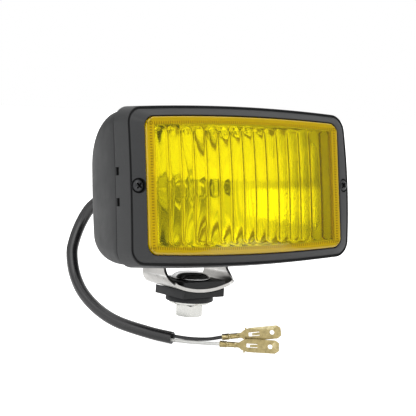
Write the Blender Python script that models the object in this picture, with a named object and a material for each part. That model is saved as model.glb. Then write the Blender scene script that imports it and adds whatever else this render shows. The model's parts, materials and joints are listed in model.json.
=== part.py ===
"""Rectangular fog light on a U-bracket.

The bracket's bolt stands along Z and the lamp faces -Y, tipped back a little.
The origin lies on the flat face that clamps to the vehicle, at the front of its ring.
"""

import math

import bpy
import bmesh
from mathutils import Matrix, Vector

MM = 0.001
GAP = 0.3 * MM

# Lamp head, in its own upright frame: origin at the centre of its face, +Y to the back
HEAD_WIDTH = 138 * MM
TOP_BULGE = 2.3 * MM
SIDE_BULGE = 0.5 * MM
FRAME_DEPTH = 10.2 * MM
FRAME_WALL = 1.7 * MM
FRONT_HALF = (68.3 * MM, 35.7 * MM)
PARTING_HALF = (HEAD_WIDTH / 2 - SIDE_BULGE, 36.5 * MM)
CORNER = 7.5 * MM
FACE_RISE = 3.2 * MM
FRONT_BOW = 1.7 * MM
PARTING_BOW = 1.0 * MM
WINDOW_BOW = 0.5 * MM
GROOVE_OUTER = 0.4 * MM
GROOVE_INNER = 1.4 * MM
GROOVE_DEPTH = 0.8 * MM
WINDOW_HALF = (60.8 * MM, 31.3 * MM)
WINDOW_CORNER = 5 * MM
WINDOW_BULGE = 1.8 * MM
LIP_BACK = 0.9 * MM

HOUSING_HALF = (67.5 * MM, 35.6 * MM)
HOUSING_CORNER = 6.8 * MM
HOUSING_WALL = 2.2 * MM
TONGUE_FRONT = 1.4 * MM
SEAT_HALF = (64.6 * MM, 32.2 * MM)
SEAT_DEPTH = 6.6 * MM
BOWL_DEPTHS = (24, 31, 37, 42, 45.5, 48.3)
SIDE_TAPER = 0.23
TOP_TAPER = 0.034
BOWL_BEND_START = 19 * MM
BOWL_BEND_END = 49.7 * MM
BOWL_BEND = (6 * MM, 16.2 * MM)
BOWL_SAG = 8.3 * MM
HUMP_SAG = 3.5 * MM
HUMP_HALF = (38 * MM, 17.6 * MM)
HUMP_END = 57 * MM
SLOT_HEIGHT = 3.8 * MM
SLOT_LENGTH = 2.2 * MM
SLOT_OFFSET = 7 * MM

# Lens and what lies behind it
LENS_HALF = (WINDOW_HALF[0] - 0.4 * MM, WINDOW_HALF[1] - 0.4 * MM)
LENS_FRONT = -3.7 * MM
LENS_BACK = -0.6 * MM
LENS_CROWN = 1.3 * MM
FLANGE_HALF = (SEAT_HALF[0] - 0.4 * MM, SEAT_HALF[1] - 0.4 * MM)
FLUTES = 15
FLUTE_PITCH = 7.36 * MM
FLUTE_HALF_HEIGHT = 27.4 * MM
FLUTE_RELIEF = 1.1 * MM
FOCAL_LENGTH = 18.5 * MM
REFLECTOR_VERTEX = 44.6 * MM
REFLECTOR_HALF_HEIGHT = 29 * MM
REFLECTOR_WALL = 1 * MM
NECK_BACK = 45.3 * MM
BULB_HOLE = 6 * MM
EARTH_POST = (-19 * MM, -9 * MM)

SCREW_X = 64.5 * MM
SCREW_SEAT = 3.3 * MM
SCREW_FLOOR = -1.2 * MM
SCREW_POST = 2.5 * MM

# Bracket and what it stands on, measured from the bolt's axis at the clamping face
BOLT_RADIUS = 4 * MM
BOLT_BORE = BOLT_RADIUS + GAP
CONTACT_RADIUS = 11.1 * MM
BOSS_RADIUS = 12.1 * MM
BOSS_HEIGHT = 3 * MM
BLOCK_HALF = (13.3 * MM, 12 * MM)
PAD_TOP = 11.2 * MM
STRAP = 1.6 * MM
ARC_HEIGHT = 55.5 * MM
ARC_OUTSIDE = 49.8 * MM
ARC_GAP = 0.25 * MM
LEG_OUTSIDE = 20.6 * MM
BEND_OUTSIDE = 5.8 * MM
ROLL_SLOT = (9.4 * MM, 4.4 * MM)
PIVOT_Y = 4.5 * MM
PIVOT_Z = 27 * MM
LEG_TOP = 8.5 * MM
PIVOT_BOLT = 3 * MM
PIVOT_BORE = PIVOT_BOLT + GAP
REST_TILT = math.radians(8)
TILT_DOWN = math.radians(25)
TILT_UP = math.radians(30)

# Where the pivot lies in the lamp head's frame, and the hollows that take the bracket's legs
PIVOT_DEPTH = 46 * MM
PIVOT_DROP = 28.4 * MM
LUG_HALF = 17.4 * MM
LUG_RADIUS = 8 * MM
HOLLOW_RADIUS = 10 * MM
HOLLOW_END = 29.5 * MM
HOLLOW_WALL = 1.6 * MM

# Cable, in the lamp head's frame
JACKET_RADIUS = 3.0 * MM
JACKET_BORE = 2.05 * MM
CORE_RADIUS = 0.85 * MM
CORE_OFFSET = 1.0 * MM
CABLE_EXIT = (-27 * MM, 0)
TAB_THICKNESS = 0.8 * MM
BARREL_RADIUS = 1.5 * MM


# ---------------------------------------------------------------- helpers

def clear_scene():
    for thing in list(bpy.data.objects):
        bpy.data.objects.remove(thing, do_unlink=True)


def frame_empty(name, location, tilt=0.0, parent=None):
    """An empty that carries the pieces of one moving group."""
    empty = bpy.data.objects.new(name, None)
    bpy.context.scene.collection.objects.link(empty)
    empty.location = location
    empty.rotation_euler = (-tilt, 0, 0)
    empty.parent = parent
    return empty


def material(name, colour, roughness, metallic=0.0, alpha=1.0):
    made = bpy.data.materials.new(name)
    made.use_nodes = True
    shader = made.node_tree.nodes["Principled BSDF"]
    shader.inputs["Base Color"].default_value = (*colour, 1)
    shader.inputs["Roughness"].default_value = roughness
    shader.inputs["Metallic"].default_value = metallic
    shader.inputs["Alpha"].default_value = alpha
    return made


def solid(name, shape, parent, look=None, place=None):
    """An object from (points, faces), its faces turned outwards."""
    points, faces = shape
    mesh = bpy.data.meshes.new(name)
    mesh.from_pydata([tuple(p) for p in points], [], faces)
    bm = bmesh.new()
    bm.from_mesh(mesh)
    bmesh.ops.recalc_face_normals(bm, faces=bm.faces)
    if place is not None:
        bmesh.ops.transform(bm, matrix=place, verts=bm.verts)
    bm.to_mesh(mesh)
    bm.free()
    mesh.shade_smooth()
    mesh.set_sharp_from_angle(angle=math.radians(35))
    made = bpy.data.objects.new(name, mesh)
    bpy.context.scene.collection.objects.link(made)
    made.parent = parent
    if look is None:
        made.hide_render = True
        made.display_type = "WIRE"
    else:
        mesh.materials.append(look)
    return made


def change(target, operation, tool):
    """Cut, join or intersect target with a helper object."""
    modifier = target.modifiers.new(tool.name, "BOOLEAN")
    modifier.operation = operation
    modifier.object = tool
    return target


def cut(target, tool):
    return change(target, "DIFFERENCE", tool)


def join(target, tool):
    return change(target, "UNION", tool)


def loft(rings, ring_shaped=False):
    """A skin through rings of equal length, capped at both ends or closed on itself."""
    count = len(rings[0])
    points = [p for ring in rings for p in ring]
    faces = []
    spans = len(rings) if ring_shaped else len(rings) - 1
    for i in range(spans):
        low = i * count
        high = (i + 1) % len(rings) * count
        for k in range(count):
            after = (k + 1) % count
            faces.append((low + k, low + after, high + after, high + k))
    if not ring_shaped:
        faces.append(tuple(range(count)))
        faces.append(tuple(range(len(points) - count, len(points))))
    return points, faces


def turned(profile, segments=32, start=0.0):
    """Revolves (radius, height) points about Z. Both ends on the axis make a solid, otherwise a ring."""
    on_axis = profile[0][0] == 0
    body = profile[1:-1] if on_axis else profile
    rings = []
    for radius, height in body:
        ring = []
        for k in range(segments):
            angle = start + 2 * math.pi * k / segments
            ring.append((radius * math.cos(angle), radius * math.sin(angle), height))
        rings.append(ring)
    if not on_axis:
        return loft(rings, ring_shaped=True)
    points, faces = loft(rings)
    faces = faces[:-2]
    first, last = len(points), len(points) + 1
    points += [(0, 0, profile[0][1]), (0, 0, profile[-1][1])]
    base = (len(rings) - 1) * segments
    for k in range(segments):
        after = (k + 1) % segments
        faces.append((first, after, k))
        faces.append((last, base + k, base + after))
    return points, faces


def rod(radius, low, high, segments=24, start=0.0):
    return turned([(0, low), (radius, low), (radius, high), (0, high)], segments, start)


def box(low, high):
    corners = [(x, y, z) for x in (low[0], high[0]) for y in (low[1], high[1]) for z in (low[2], high[2])]
    faces = [(0, 1, 3, 2), (4, 6, 7, 5), (0, 4, 5, 1), (2, 3, 7, 6), (0, 2, 6, 4), (1, 5, 7, 3)]
    return corners, faces


def along_x(x=0.0, y=0.0, z=0.0):
    """Places a piece modelled about Z so that its axis runs along X."""
    return Matrix.Translation((x, y, z)) @ Matrix.Rotation(math.pi / 2, 4, "Y")


def along_y(x=0.0, y=0.0, z=0.0):
    """Places a piece modelled about Z so that its axis runs along +Y."""
    return Matrix.Translation((x, y, z)) @ Matrix.Rotation(-math.pi / 2, 4, "X")


def pillow(half, corner, depth, top_bulge=TOP_BULGE, side_bulge=SIDE_BULGE, corner_steps=6, edge_steps=4):
    """A rounded rectangle at this depth, whose edges bow outwards."""
    wide, high = half
    corners = ((1, 1, 0), (-1, 1, 90), (-1, -1, 180), (1, -1, 270))
    outline = []
    for sx, sz, start in corners:
        for k in range(corner_steps + 1):
            angle = math.radians(start + 90 * k / corner_steps)
            x = sx * (wide - corner) + corner * math.cos(angle)
            z = sz * (high - corner) + corner * math.sin(angle)
            outline.append((x, z))
    points = []
    for i, (x, z) in enumerate(outline):
        points.append((x, z))
        if i % (corner_steps + 1) == corner_steps:
            x2, z2 = outline[(i + 1) % len(outline)]
            for k in range(1, edge_steps):
                share = k / edge_steps
                points.append((x + (x2 - x) * share, z + (z2 - z) * share))
    bowed = []
    for x, z in points:
        lift = top_bulge * (1 - (x / wide) ** 2) * max(-1, min(1, z / (0.8 * high)))
        push = side_bulge * (1 - (z / high) ** 2) * max(-1, min(1, x / (0.8 * wide)))
        bowed.append((x + push, depth, z + lift))
    return bowed


def bow_forward(ring, bow):
    """Bends a ring forward between its top and bottom edges, most at mid height."""
    high = FRONT_HALF[1]
    return [(x, y - bow * max(0, 1 - (z / high) ** 2), z) for x, y, z in ring]


def inset(half, by):
    return half[0] - by, half[1] - by


# ---------------------------------------------------------------- lamp head

SIDES = ((-1, "left"), (1, "right"))


def bowl_section(depth, inward):
    """One ring of the bowl's outside at a depth, moved inward and forward by a wall."""
    taper = depth - FRAME_DEPTH
    bend = max(0, depth - BOWL_BEND_START) / (BOWL_BEND_END - BOWL_BEND_START)
    drop = 1 - math.sqrt(max(0, 1 - bend * bend))
    wide = HOUSING_HALF[0] - SIDE_TAPER * taper - BOWL_BEND[0] * drop - inward
    high = HOUSING_HALF[1] - TOP_TAPER * taper - BOWL_BEND[1] * drop - inward
    corner = HOUSING_CORNER + 0.04 * taper - inward
    ring = pillow((wide, high), corner, depth - inward, 1.8 * MM)
    return [(x, y, z - BOWL_SAG * drop) for x, y, z in ring]


def hump_section(shrink, corner, depth, inward):
    half = inset(HUMP_HALF, shrink + inward)
    ring = pillow(half, corner - inward, depth - inward, 0.5 * MM)
    return [(x, y, z - HUMP_SAG) for x, y, z in ring]


def bowl_rings(depths, inward=0.0):
    """The bowl and the raised middle of its back, as rings from front to back."""
    rings = [bowl_section(depth * MM, inward) for depth in depths]
    rings.append(hump_section(-1.4 * MM, 17.5 * MM, BOWL_BEND_END + 0.7 * MM, inward))
    rings.append(hump_section(0, 16.8 * MM, HUMP_END - 2 * MM, inward))
    rings.append(hump_section(2.4 * MM, 15 * MM, HUMP_END, inward))
    return rings


def housing_hull(name, parent, look):
    """The housing's outside as a filled shape, with the tongue that reaches into the frame."""
    tongue = (66 * MM, 32.9 * MM), (66.3 * MM, 34.3 * MM)
    shoulder = FRAME_DEPTH + GAP
    rings = [
        pillow(tongue[0], 7 * MM, TONGUE_FRONT, 2 * MM),
        bow_forward(pillow(tongue[1], 7 * MM, shoulder, 2 * MM), PARTING_BOW),
        bow_forward(bowl_section(shoulder, 0), PARTING_BOW),
    ]
    rings += bowl_rings(BOWL_DEPTHS)
    return solid(name, loft(rings), parent, look)


def housing_cavity(parent):
    """The space inside the housing: the seat for lens and reflector, a shelf, and the bowl."""
    shelf = (62.4 * MM, 30.4 * MM)
    rings = [
        pillow(SEAT_HALF, 6 * MM, -5 * MM, 1.3 * MM),
        pillow(SEAT_HALF, 6 * MM, SEAT_DEPTH, 1.3 * MM),
        pillow(shelf, 5 * MM, SEAT_DEPTH, 1.3 * MM),
        pillow(shelf, 5 * MM, SEAT_DEPTH + 1.8 * MM, 1.3 * MM),
        pillow((64.8 * MM, 33.3 * MM), 7 * MM, SEAT_DEPTH + 4 * MM, 1.3 * MM),
    ]
    rings += bowl_rings(BOWL_DEPTHS, HOUSING_WALL)
    cavity = solid("housing_cavity", loft(rings), parent)
    for side, word in SIDES:
        post = rod(SCREW_POST, -10 * MM, 16 * MM)
        cut(cavity, solid(f"post_{word}", post, parent, place=along_y(side * SCREW_X)))
        cut(cavity, leg_hollow(f"hollow_wall_{word}", side, HOLLOW_WALL, parent))
    knuckle = rod(LUG_RADIUS + 0.4 * MM, -LUG_HALF - MM, LUG_HALF + MM, 32)
    cut(cavity, solid("knuckle_inside", knuckle, parent, place=along_x(0, PIVOT_DEPTH, -PIVOT_DROP)))
    return cavity


def leg_hollow(name, side, wall, parent):
    """The space a bracket leg sweeps as the head tilts, grown by a wall: a circle round the pivot that
    opens downwards between the two end positions of the leg."""
    radius = HOLLOW_RADIUS + wall
    front = -(TILT_DOWN - REST_TILT)
    back = TILT_UP + REST_TILT
    reach = 24 * MM
    outline = []
    for k in range(15):
        angle = back + (math.pi + front - back) * k / 14
        outline.append((radius * math.cos(angle), radius * math.sin(angle)))
    for turn, (y, z) in ((front, outline[-1]), (back, outline[0])):
        outline.append((y + reach * math.sin(turn), z - reach * math.cos(turn)))
    inner = LUG_HALF - wall
    outer = HOLLOW_END + wall
    low, high = (inner, outer) if side > 0 else (-outer, -inner)
    rings = [[(x, PIVOT_DEPTH + y, z - PIVOT_DROP) for y, z in outline] for x in (low, high)]
    return solid(name, loft(rings), parent)


def rear_housing(parent, look):
    """The black bowl: a tongue inside the frame, a seat for the glass, and a knuckle for the pivot bolt."""
    made = housing_hull("rear_housing", parent, look)
    cut(made, housing_cavity(parent))
    at_pivot = along_x(0, PIVOT_DEPTH, -PIVOT_DROP)
    join(made, solid("knuckle", rod(LUG_RADIUS, -LUG_HALF - MM, LUG_HALF + MM, 32), parent, place=at_pivot))
    for side, word in SIDES:
        cut(made, leg_hollow(f"leg_hollow_{word}", side, 0, parent))
        pilot = rod(1.5 * MM, 0, 14 * MM, 16)
        cut(made, solid(f"pilot_{word}", pilot, parent, place=along_y(side * SCREW_X)))
    bore = rod(PIVOT_BORE, -30 * MM, 30 * MM, 24)
    cut(made, solid("pivot_bore", bore, parent, place=at_pivot))
    x, z = CABLE_EXIT
    exit_hole = rod(4.2 * MM, -8 * MM, 8 * MM, 24)
    cut(made, solid("cable_hole", exit_hole, parent, place=along_y(x, HUMP_END, z)))
    return made


def front_frame(parent, look):
    """The bezel: a flared band, a grooved face that rises to the window, and a lip over the glass."""
    inner_corner = CORNER - FRAME_WALL
    floor_outer = inset(FRONT_HALF, GROOVE_OUTER + 0.2 * MM)
    floor_inner = inset(FRONT_HALF, GROOVE_INNER - 0.3 * MM)
    sections = (
        (PARTING_HALF, CORNER, FRAME_DEPTH, TOP_BULGE, PARTING_BOW),
        (inset(FRONT_HALF, -0.1 * MM), CORNER, 1.0 * MM, TOP_BULGE, FRONT_BOW),
        (inset(FRONT_HALF, 0.2 * MM), CORNER - 0.2 * MM, 0.1 * MM, TOP_BULGE, FRONT_BOW),
        (inset(FRONT_HALF, GROOVE_OUTER), CORNER - GROOVE_OUTER, 0.2 * MM, TOP_BULGE, FRONT_BOW),
        (floor_outer, CORNER - GROOVE_OUTER, GROOVE_DEPTH, TOP_BULGE, FRONT_BOW),
        (floor_inner, CORNER - GROOVE_INNER, GROOVE_DEPTH, TOP_BULGE, FRONT_BOW),
        (inset(FRONT_HALF, GROOVE_INNER), CORNER - GROOVE_INNER, -0.1 * MM, TOP_BULGE, FRONT_BOW),
        (inset(WINDOW_HALF, -0.5 * MM), WINDOW_CORNER + 0.5 * MM, -FACE_RISE, WINDOW_BULGE, WINDOW_BOW),
        (WINDOW_HALF, WINDOW_CORNER, 0.3 * MM - FACE_RISE, WINDOW_BULGE, WINDOW_BOW),
        (WINDOW_HALF, WINDOW_CORNER, LIP_BACK, WINDOW_BULGE, 0),
        (inset(FRONT_HALF, FRAME_WALL), inner_corner, LIP_BACK, TOP_BULGE, 0),
        (inset(PARTING_HALF, FRAME_WALL), inner_corner, FRAME_DEPTH, TOP_BULGE, PARTING_BOW),
    )
    rings = []
    for half, corner, depth, bulge, bow in sections:
        side_bulge = SIDE_BULGE if bulge == TOP_BULGE else 0.1 * MM
        rings.append(bow_forward(pillow(half, corner, depth, bulge, side_bulge), bow))
    made = solid("front_frame", loft(rings, ring_shaped=True), parent, look)
    for side, word in SIDES:
        at_screw = along_y(side * SCREW_X)
        seat = rod(SCREW_SEAT, -8 * MM, SCREW_FLOOR, 28)
        cut(made, solid(f"screw_seat_{word}", seat, parent, place=at_screw))
        hole = rod(1.8 * MM, -4 * MM, 3 * MM, 20)
        cut(made, solid(f"screw_hole_{word}", hole, parent, place=at_screw))
        for rise, place in ((-1, "low"), (1, "high")):
            x = (side * (PARTING_HALF[0] - FRAME_WALL - MM), side * (PARTING_HALF[0] + 2 * MM))
            middle = rise * SLOT_OFFSET
            low = (min(x), FRAME_DEPTH - PARTING_BOW - SLOT_LENGTH, middle - SLOT_HEIGHT / 2)
            high = (max(x), FRAME_DEPTH + MM, middle + SLOT_HEIGHT / 2)
            cut(made, solid(f"side_slot_{word}_{place}", box(low, high), parent))
    return made


def frame_screw(side, word, parent, look):
    """A pan-head self-tapping screw with a cross recess."""
    head, shank = 2.8 * MM, 1.2 * MM
    profile = [
        (0, -1.9 * MM), (0.55 * head, -1.8 * MM), (0.88 * head, -1.4 * MM), (head, -0.9 * MM),
        (head, -GAP), (shank, -GAP), (shank, 11 * MM), (0, 12.5 * MM),
    ]
    place = along_y(side * SCREW_X, SCREW_FLOOR)
    made = solid(f"frame_screw_{word}", turned(profile, 24), parent, look, place)
    for name, turn in (("across", 0.2), ("along", 0.2 + math.pi / 2)):
        arm = box((-1.7 * MM, -0.35 * MM, -3 * MM), (1.7 * MM, 0.35 * MM, -1.0 * MM))
        turned_place = place @ Matrix.Rotation(turn, 4, "Z")
        cut(made, solid(f"recess_{name}_{word}", arm, parent, place=turned_place))
    return made


def notch(target, parent):
    """Clears a flat piece round both screw posts."""
    for side, word in SIDES:
        opening = rod(SCREW_POST + GAP, -5 * MM, 9 * MM, 20)
        cut(target, solid(f"{target.name}_notch_{word}", opening, parent, place=along_y(side * SCREW_X)))


def lens_depth(x, z, edge_depth):
    """Depth of a sheet that is crowned towards -Y and lies at edge_depth round its edge."""
    u, v = x / LENS_HALF[0], z / LENS_HALF[1]
    return edge_depth - LENS_CROWN * (1 - u * u) * (1 - v * v)


def flute_relief(x, z):
    """How far the round ribs inside the lens stand proud here. Their ends are arched."""
    reach = FLUTES * FLUTE_PITCH / 2
    if abs(x) >= reach:
        return 0.0
    across = 2 * ((x + reach) / FLUTE_PITCH % 1) - 1
    arch = FLUTE_HALF_HEIGHT - 3.2 * MM * across * across
    if abs(z) >= arch:
        return 0.0
    return FLUTE_RELIEF * math.sqrt(1 - 0.9 * across * across)


def lens_grid():
    """Front and back points of the lens, in columns from left to right."""
    steps = 4
    reach = FLUTES * FLUTE_PITCH / 2
    margin = [LENS_HALF[0], LENS_HALF[0] - 0.7 * MM, LENS_HALF[0] - 2.6 * MM]
    ribs = [-reach + FLUTE_PITCH * (k + 0.5) / steps for k in range(FLUTES * steps)]
    columns = [-x for x in margin] + ribs + margin[::-1]
    rows = (-1, -0.9, -0.82, 0, 0.82, 0.9, 1)
    front, back = [], []
    for x in columns:
        over = max(0, abs(x) - (LENS_HALF[0] - WINDOW_CORNER))
        high = LENS_HALF[1] - WINDOW_CORNER + math.sqrt(max(0, WINDOW_CORNER ** 2 - over ** 2))
        high += (WINDOW_BULGE - 0.1 * MM) * (1 - (x / LENS_HALF[0]) ** 2)
        for share in rows:
            z = share * high
            front.append((x, lens_depth(x, z, LENS_FRONT), z))
            back.append((x, lens_depth(x, z, LENS_BACK) + flute_relief(x, z), z))
    return front, back, len(columns), len(rows)


def sheet_pair(front, back, columns, rows):
    """Closes two matching grids of points into one slab."""
    shift = len(front)
    faces = []
    for i in range(columns - 1):
        for k in range(rows - 1):
            a, b = i * rows + k, (i + 1) * rows + k
            faces.append((a, b, b + 1, a + 1))
            faces.append((shift + a, shift + a + 1, shift + b + 1, shift + b))
    border = [i * rows for i in range(columns)]
    border += [(columns - 1) * rows + k for k in range(1, rows)]
    border += [i * rows + rows - 1 for i in range(columns - 2, -1, -1)]
    border += list(range(rows - 2, 0, -1))
    for n, a in enumerate(border):
        b = border[(n + 1) % len(border)]
        faces.append((b, a, shift + a, shift + b))
    return front + back, faces


def flat_ring(outer, inner, front, back, corner, bulge=1.2 * MM):
    """A flat frame between two rounded rectangles."""
    return loft([
        pillow(outer, corner, front, bulge),
        pillow(outer, corner, back, bulge),
        pillow(inner, corner - 1.5 * MM, back, bulge),
        pillow(inner, corner - 1.5 * MM, front, bulge),
    ], ring_shaped=True)


def lens(parent, look):
    """Crowned glass with upright ribs inside, on a flat flange that the frame holds."""
    made = solid("lens", sheet_pair(*lens_grid()), parent, look)
    flange_inner = inset(LENS_HALF, 1.4 * MM)
    flange = flat_ring(FLANGE_HALF, flange_inner, 1.3 * MM, 3 * MM, 5.5 * MM)
    join(made, solid("lens_flange", flange, parent))
    neck_outer, neck_inner = inset(LENS_HALF, 0.5 * MM), inset(LENS_HALF, 1.8 * MM)
    neck = flat_ring(neck_outer, neck_inner, LENS_BACK - 0.9 * MM, 2.2 * MM, 4.5 * MM, MM)
    join(made, solid("lens_neck", neck, parent))
    notch(made, parent)
    return made


def lens_gasket(parent, look):
    ring = flat_ring(inset(FLANGE_HALF, 0.1 * MM), (60.2 * MM, 29.4 * MM), 3.3 * MM, 4.8 * MM, 5.5 * MM)
    made = solid("lens_gasket", ring, parent, look)
    notch(made, parent)
    return made


def dish_section(radius, outward):
    """A ring of the paraboloid at a radius, moved outward square to its surface, clipped above and below."""
    slope = radius / (2 * FOCAL_LENGTH)
    length = math.sqrt(1 + slope * slope)
    reach = radius + outward * slope / length
    depth = REFLECTOR_VERTEX - radius * radius / (4 * FOCAL_LENGTH) + outward / length
    high = REFLECTOR_HALF_HEIGHT + outward
    ring = []
    for k in range(40):
        angle = 2 * math.pi * (k + 0.5) / 40
        z = max(-high, min(high, reach * math.sin(angle)))
        ring.append((reach * math.cos(angle), depth, z))
    return ring


def reflector(parent, look):
    """A parabolic dish on a flat plate, with a neck for the bulb and a post for the earth tag."""
    plate = loft([pillow(FLANGE_HALF, 5.5 * MM, depth, 1.2 * MM) for depth in (5.1 * MM, 6.3 * MM)])
    made = solid("reflector", plate, parent, look)
    shell = loft([dish_section(r * MM, REFLECTOR_WALL) for r in (54.2, 46, 37, 28, 18, 9)])
    join(made, solid("dish_outside", shell, parent))
    neck = rod(12.5 * MM, 40.5 * MM, NECK_BACK, 32)
    join(made, solid("neck", neck, parent, place=along_y()))
    post = rod(2.8 * MM, 38.5 * MM, NECK_BACK, 20)
    join(made, solid("earth_post", post, parent, place=along_y(EARTH_POST[0], 0, EARTH_POST[1])))
    hollow = loft([dish_section(r * MM, 0) for r in (54.8, 46, 37, 28, 18, 9, 5)])
    cut(made, solid("dish_inside", hollow, parent))
    cut(made, solid("bulb_hole", rod(BULB_HOLE, 35 * MM, 50 * MM, 24), parent, place=along_y()))
    pilot = rod(1.5 * MM, 41 * MM, 50 * MM, 12)
    cut(made, solid("earth_pilot", pilot, parent, place=along_y(EARTH_POST[0], 0, EARTH_POST[1])))
    notch(made, parent)
    return made


# ---------------------------------------------------------------- bulb

def bulb_glass(parent, look):
    """The halogen capsule, round at its tip."""
    radius = 4.6 * MM
    profile = [(0, 16 * MM), (0.5 * radius, 16.6 * MM), (0.87 * radius, 18.3 * MM), (radius, 20.6 * MM)]
    profile += [(radius, 39.6 * MM), (0, 39.6 * MM)]
    return solid("bulb_glass", turned(profile, 24), parent, look, along_y())


def bulb_base(parent, look):
    """The metal cap: a collar in the reflector's hole, a disc on its neck, and a stub for the lead."""
    profile = [
        (0, 40 * MM), (5.2 * MM, 40 * MM), (5.2 * MM, 45.6 * MM), (11 * MM, 45.6 * MM), (11 * MM, 46.6 * MM),
        (4.5 * MM, 46.6 * MM), (4.5 * MM, 49 * MM), (0, 49 * MM),
    ]
    return solid("bulb_base", turned(profile, 28), parent, look, along_y())


def bulb_clip(parent, look):
    """The sprung wire that presses the bulb's disc onto the reflector."""
    leg = 5.3 * MM
    back = 47.5 * MM
    side = [(-14 * MM, 45.4 * MM, leg), (-12.6 * MM, back, leg), (0, back, leg), (10 * MM, back, leg)]
    bend = [(13 * MM, back, 3.4 * MM), (14 * MM, back, 0), (13 * MM, back, -3.4 * MM)]
    points = side + bend + [(x, y, -z) for x, y, z in side[::-1]]
    return solid("bulb_clip", wire(smooth(points, 2), 0.5 * MM, 6), parent, look)


# ---------------------------------------------------------------- cable

def smooth(points, steps):
    """Points along a Catmull-Rom curve through these points."""
    points = [Vector(p) for p in points]
    padded = [2 * points[0] - points[1]] + points + [2 * points[-1] - points[-2]]
    path = []
    for a, b, c, d in zip(padded, padded[1:], padded[2:], padded[3:]):
        for k in range(steps):
            t = k / steps
            path.append(0.5 * (2 * b + (c - a) * t + (2 * a - 5 * b + 4 * c - d) * t * t
                               + (3 * b - a - 3 * c + d) * t ** 3))
    return path + [points[-1]]


def carried_frames(path, up):
    """Two directions square to the path at each point, turned as little as possible from the first 'up'."""
    frames = []
    for i, point in enumerate(path):
        ahead = (path[min(i + 1, len(path) - 1)] - path[max(i - 1, 0)]).normalized()
        up = (up - ahead * up.dot(ahead)).normalized()
        frames.append((up, ahead.cross(up)))
    return frames


def tube_rings(path, frames, radius, segments):
    rings = []
    for point, (up, across) in zip(path, frames):
        ring = []
        for k in range(segments):
            angle = 2 * math.pi * k / segments
            ring.append(point + radius * (up * math.cos(angle) + across * math.sin(angle)))
        rings.append(ring)
    return rings


def wire(path, radius, segments=8):
    path = [Vector(p) for p in path]
    frames = carried_frames(path, Vector((0.1, 0.2, 1)))
    return loft(tube_rings(path, frames, radius, segments))


def cable_path():
    """The jacket's middle line from its free end, under the lamp, round the left side and into the back."""
    x, z = CABLE_EXIT
    free_end = [(-20.6, 33.3, -72.8), (-26.4, 44.5, -70.1), (-34.5, 58.9, -65.0), (-39.2, 69.1, -58.8)]
    side = [(-42.3, 77.8, -50.4), (-42.8, 84.2, -41.0), (-42.3, 87.1, -31.4), (-40.5, 87.9, -24.7)]
    turn_in = [(-36.6, 86.9, -15.2), (-32.9, 82.2, -6.8), (-29.0, 73.5, -1.8)]
    grommet = [(x / MM, depth, z / MM) for depth in (65, 60, 55, 51.5)]
    return smooth([Vector(p) * MM for p in free_end + side + turn_in + grommet], 2)


def cable_jacket(path, frames, parent, look):
    outside = tube_rings(path, frames, JACKET_RADIUS, 12)
    inside = tube_rings(path, frames, JACKET_BORE, 12)
    return solid("cable_jacket", loft(outside + inside[::-1], ring_shaped=True), parent, look)


def core(name, path, frames, side, outer, inner, parent, look):
    """One insulated wire: from its terminal, through the jacket beside its twin, to its inner end."""
    outer = [Vector(p) * MM for p in outer]
    inner = [Vector(p) * MM for p in inner]
    middle = [point + up * side * CORE_OFFSET for point, (up, _) in zip(path, frames)]
    points = smooth(outer + middle[:1], 2)[:-1] + middle + smooth(middle[-1:] + inner, 2)[1:]
    return solid(name, wire(points, CORE_RADIUS), parent, look)


def cable_grommet(parent, look):
    """A rubber ring grooved round the hole in the housing's back, with a nose along the cable."""
    bore = JACKET_RADIUS + GAP
    wall_front = HUMP_END - HOUSING_WALL
    profile = [
        (bore, wall_front - 1.6 * MM), (5.2 * MM, wall_front - 1.6 * MM), (5.2 * MM, wall_front - GAP),
        (3.9 * MM, wall_front - GAP), (3.9 * MM, HUMP_END + GAP), (5.6 * MM, HUMP_END + GAP),
        (5.6 * MM, HUMP_END + 1.8 * MM), (3.8 * MM, HUMP_END + 5.5 * MM), (bore, HUMP_END + 5.5 * MM),
    ]
    x, z = CABLE_EXIT
    return solid("cable_grommet", turned(profile, 20), parent, look, along_y(x, 0, z))


def terminal_place(start, tip, facing):
    """A frame whose X runs from start to tip and whose Z turns as near to 'facing' as it can."""
    start, tip = start * MM, tip * MM
    ahead = (tip - start).normalized()
    normal = (facing - ahead * facing.dot(ahead)).normalized()
    across = normal.cross(ahead)
    turn = Matrix((ahead, across, normal)).transposed()
    return Matrix.Translation(start) @ turn.to_4x4()


def blade_terminal(name, place, parent, look):
    """A 6.3 mm blade with a hole, a window behind two small ears, and a crimped barrel for the wire."""
    half = (
        (6, 1.2), (9.2, 1.2), (10.6, 2.3), (11.4, 2.5), (11.4, 3.5), (12.1, 3.5), (12.1, 2.8), (13.8, 3.15),
        (26.6, 3.15), (28.5, 1.9),
    )
    outline = [(x * MM, y * MM) for x, y in half] + [(x * MM, -y * MM) for x, y in half[::-1]]
    plate = loft([[(x, y, z) for x, y in outline] for z in (-TAB_THICKNESS / 2, TAB_THICKNESS / 2)])
    made = solid(name, plate, parent, look, place)
    barrel = solid(f"{name}_barrel", rod(BARREL_RADIUS, 0, 8 * MM, 16), parent, place=place @ along_x())
    join(made, barrel)
    bore = rod(CORE_RADIUS + 0.25 * MM, -2 * MM, 5.8 * MM, 16)
    cut(made, solid(f"{name}_bore", bore, parent, place=place @ along_x()))
    hole = rod(1.1 * MM, -2 * MM, 2 * MM, 16)
    cut(made, solid(f"{name}_hole", hole, parent, place=place @ Matrix.Translation((24.2 * MM, 0, 0))))
    window = box((12.8 * MM, -MM, -2 * MM), (18.2 * MM, MM, 2 * MM))
    cut(made, solid(f"{name}_window", window, parent, place=place))
    return made


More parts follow.
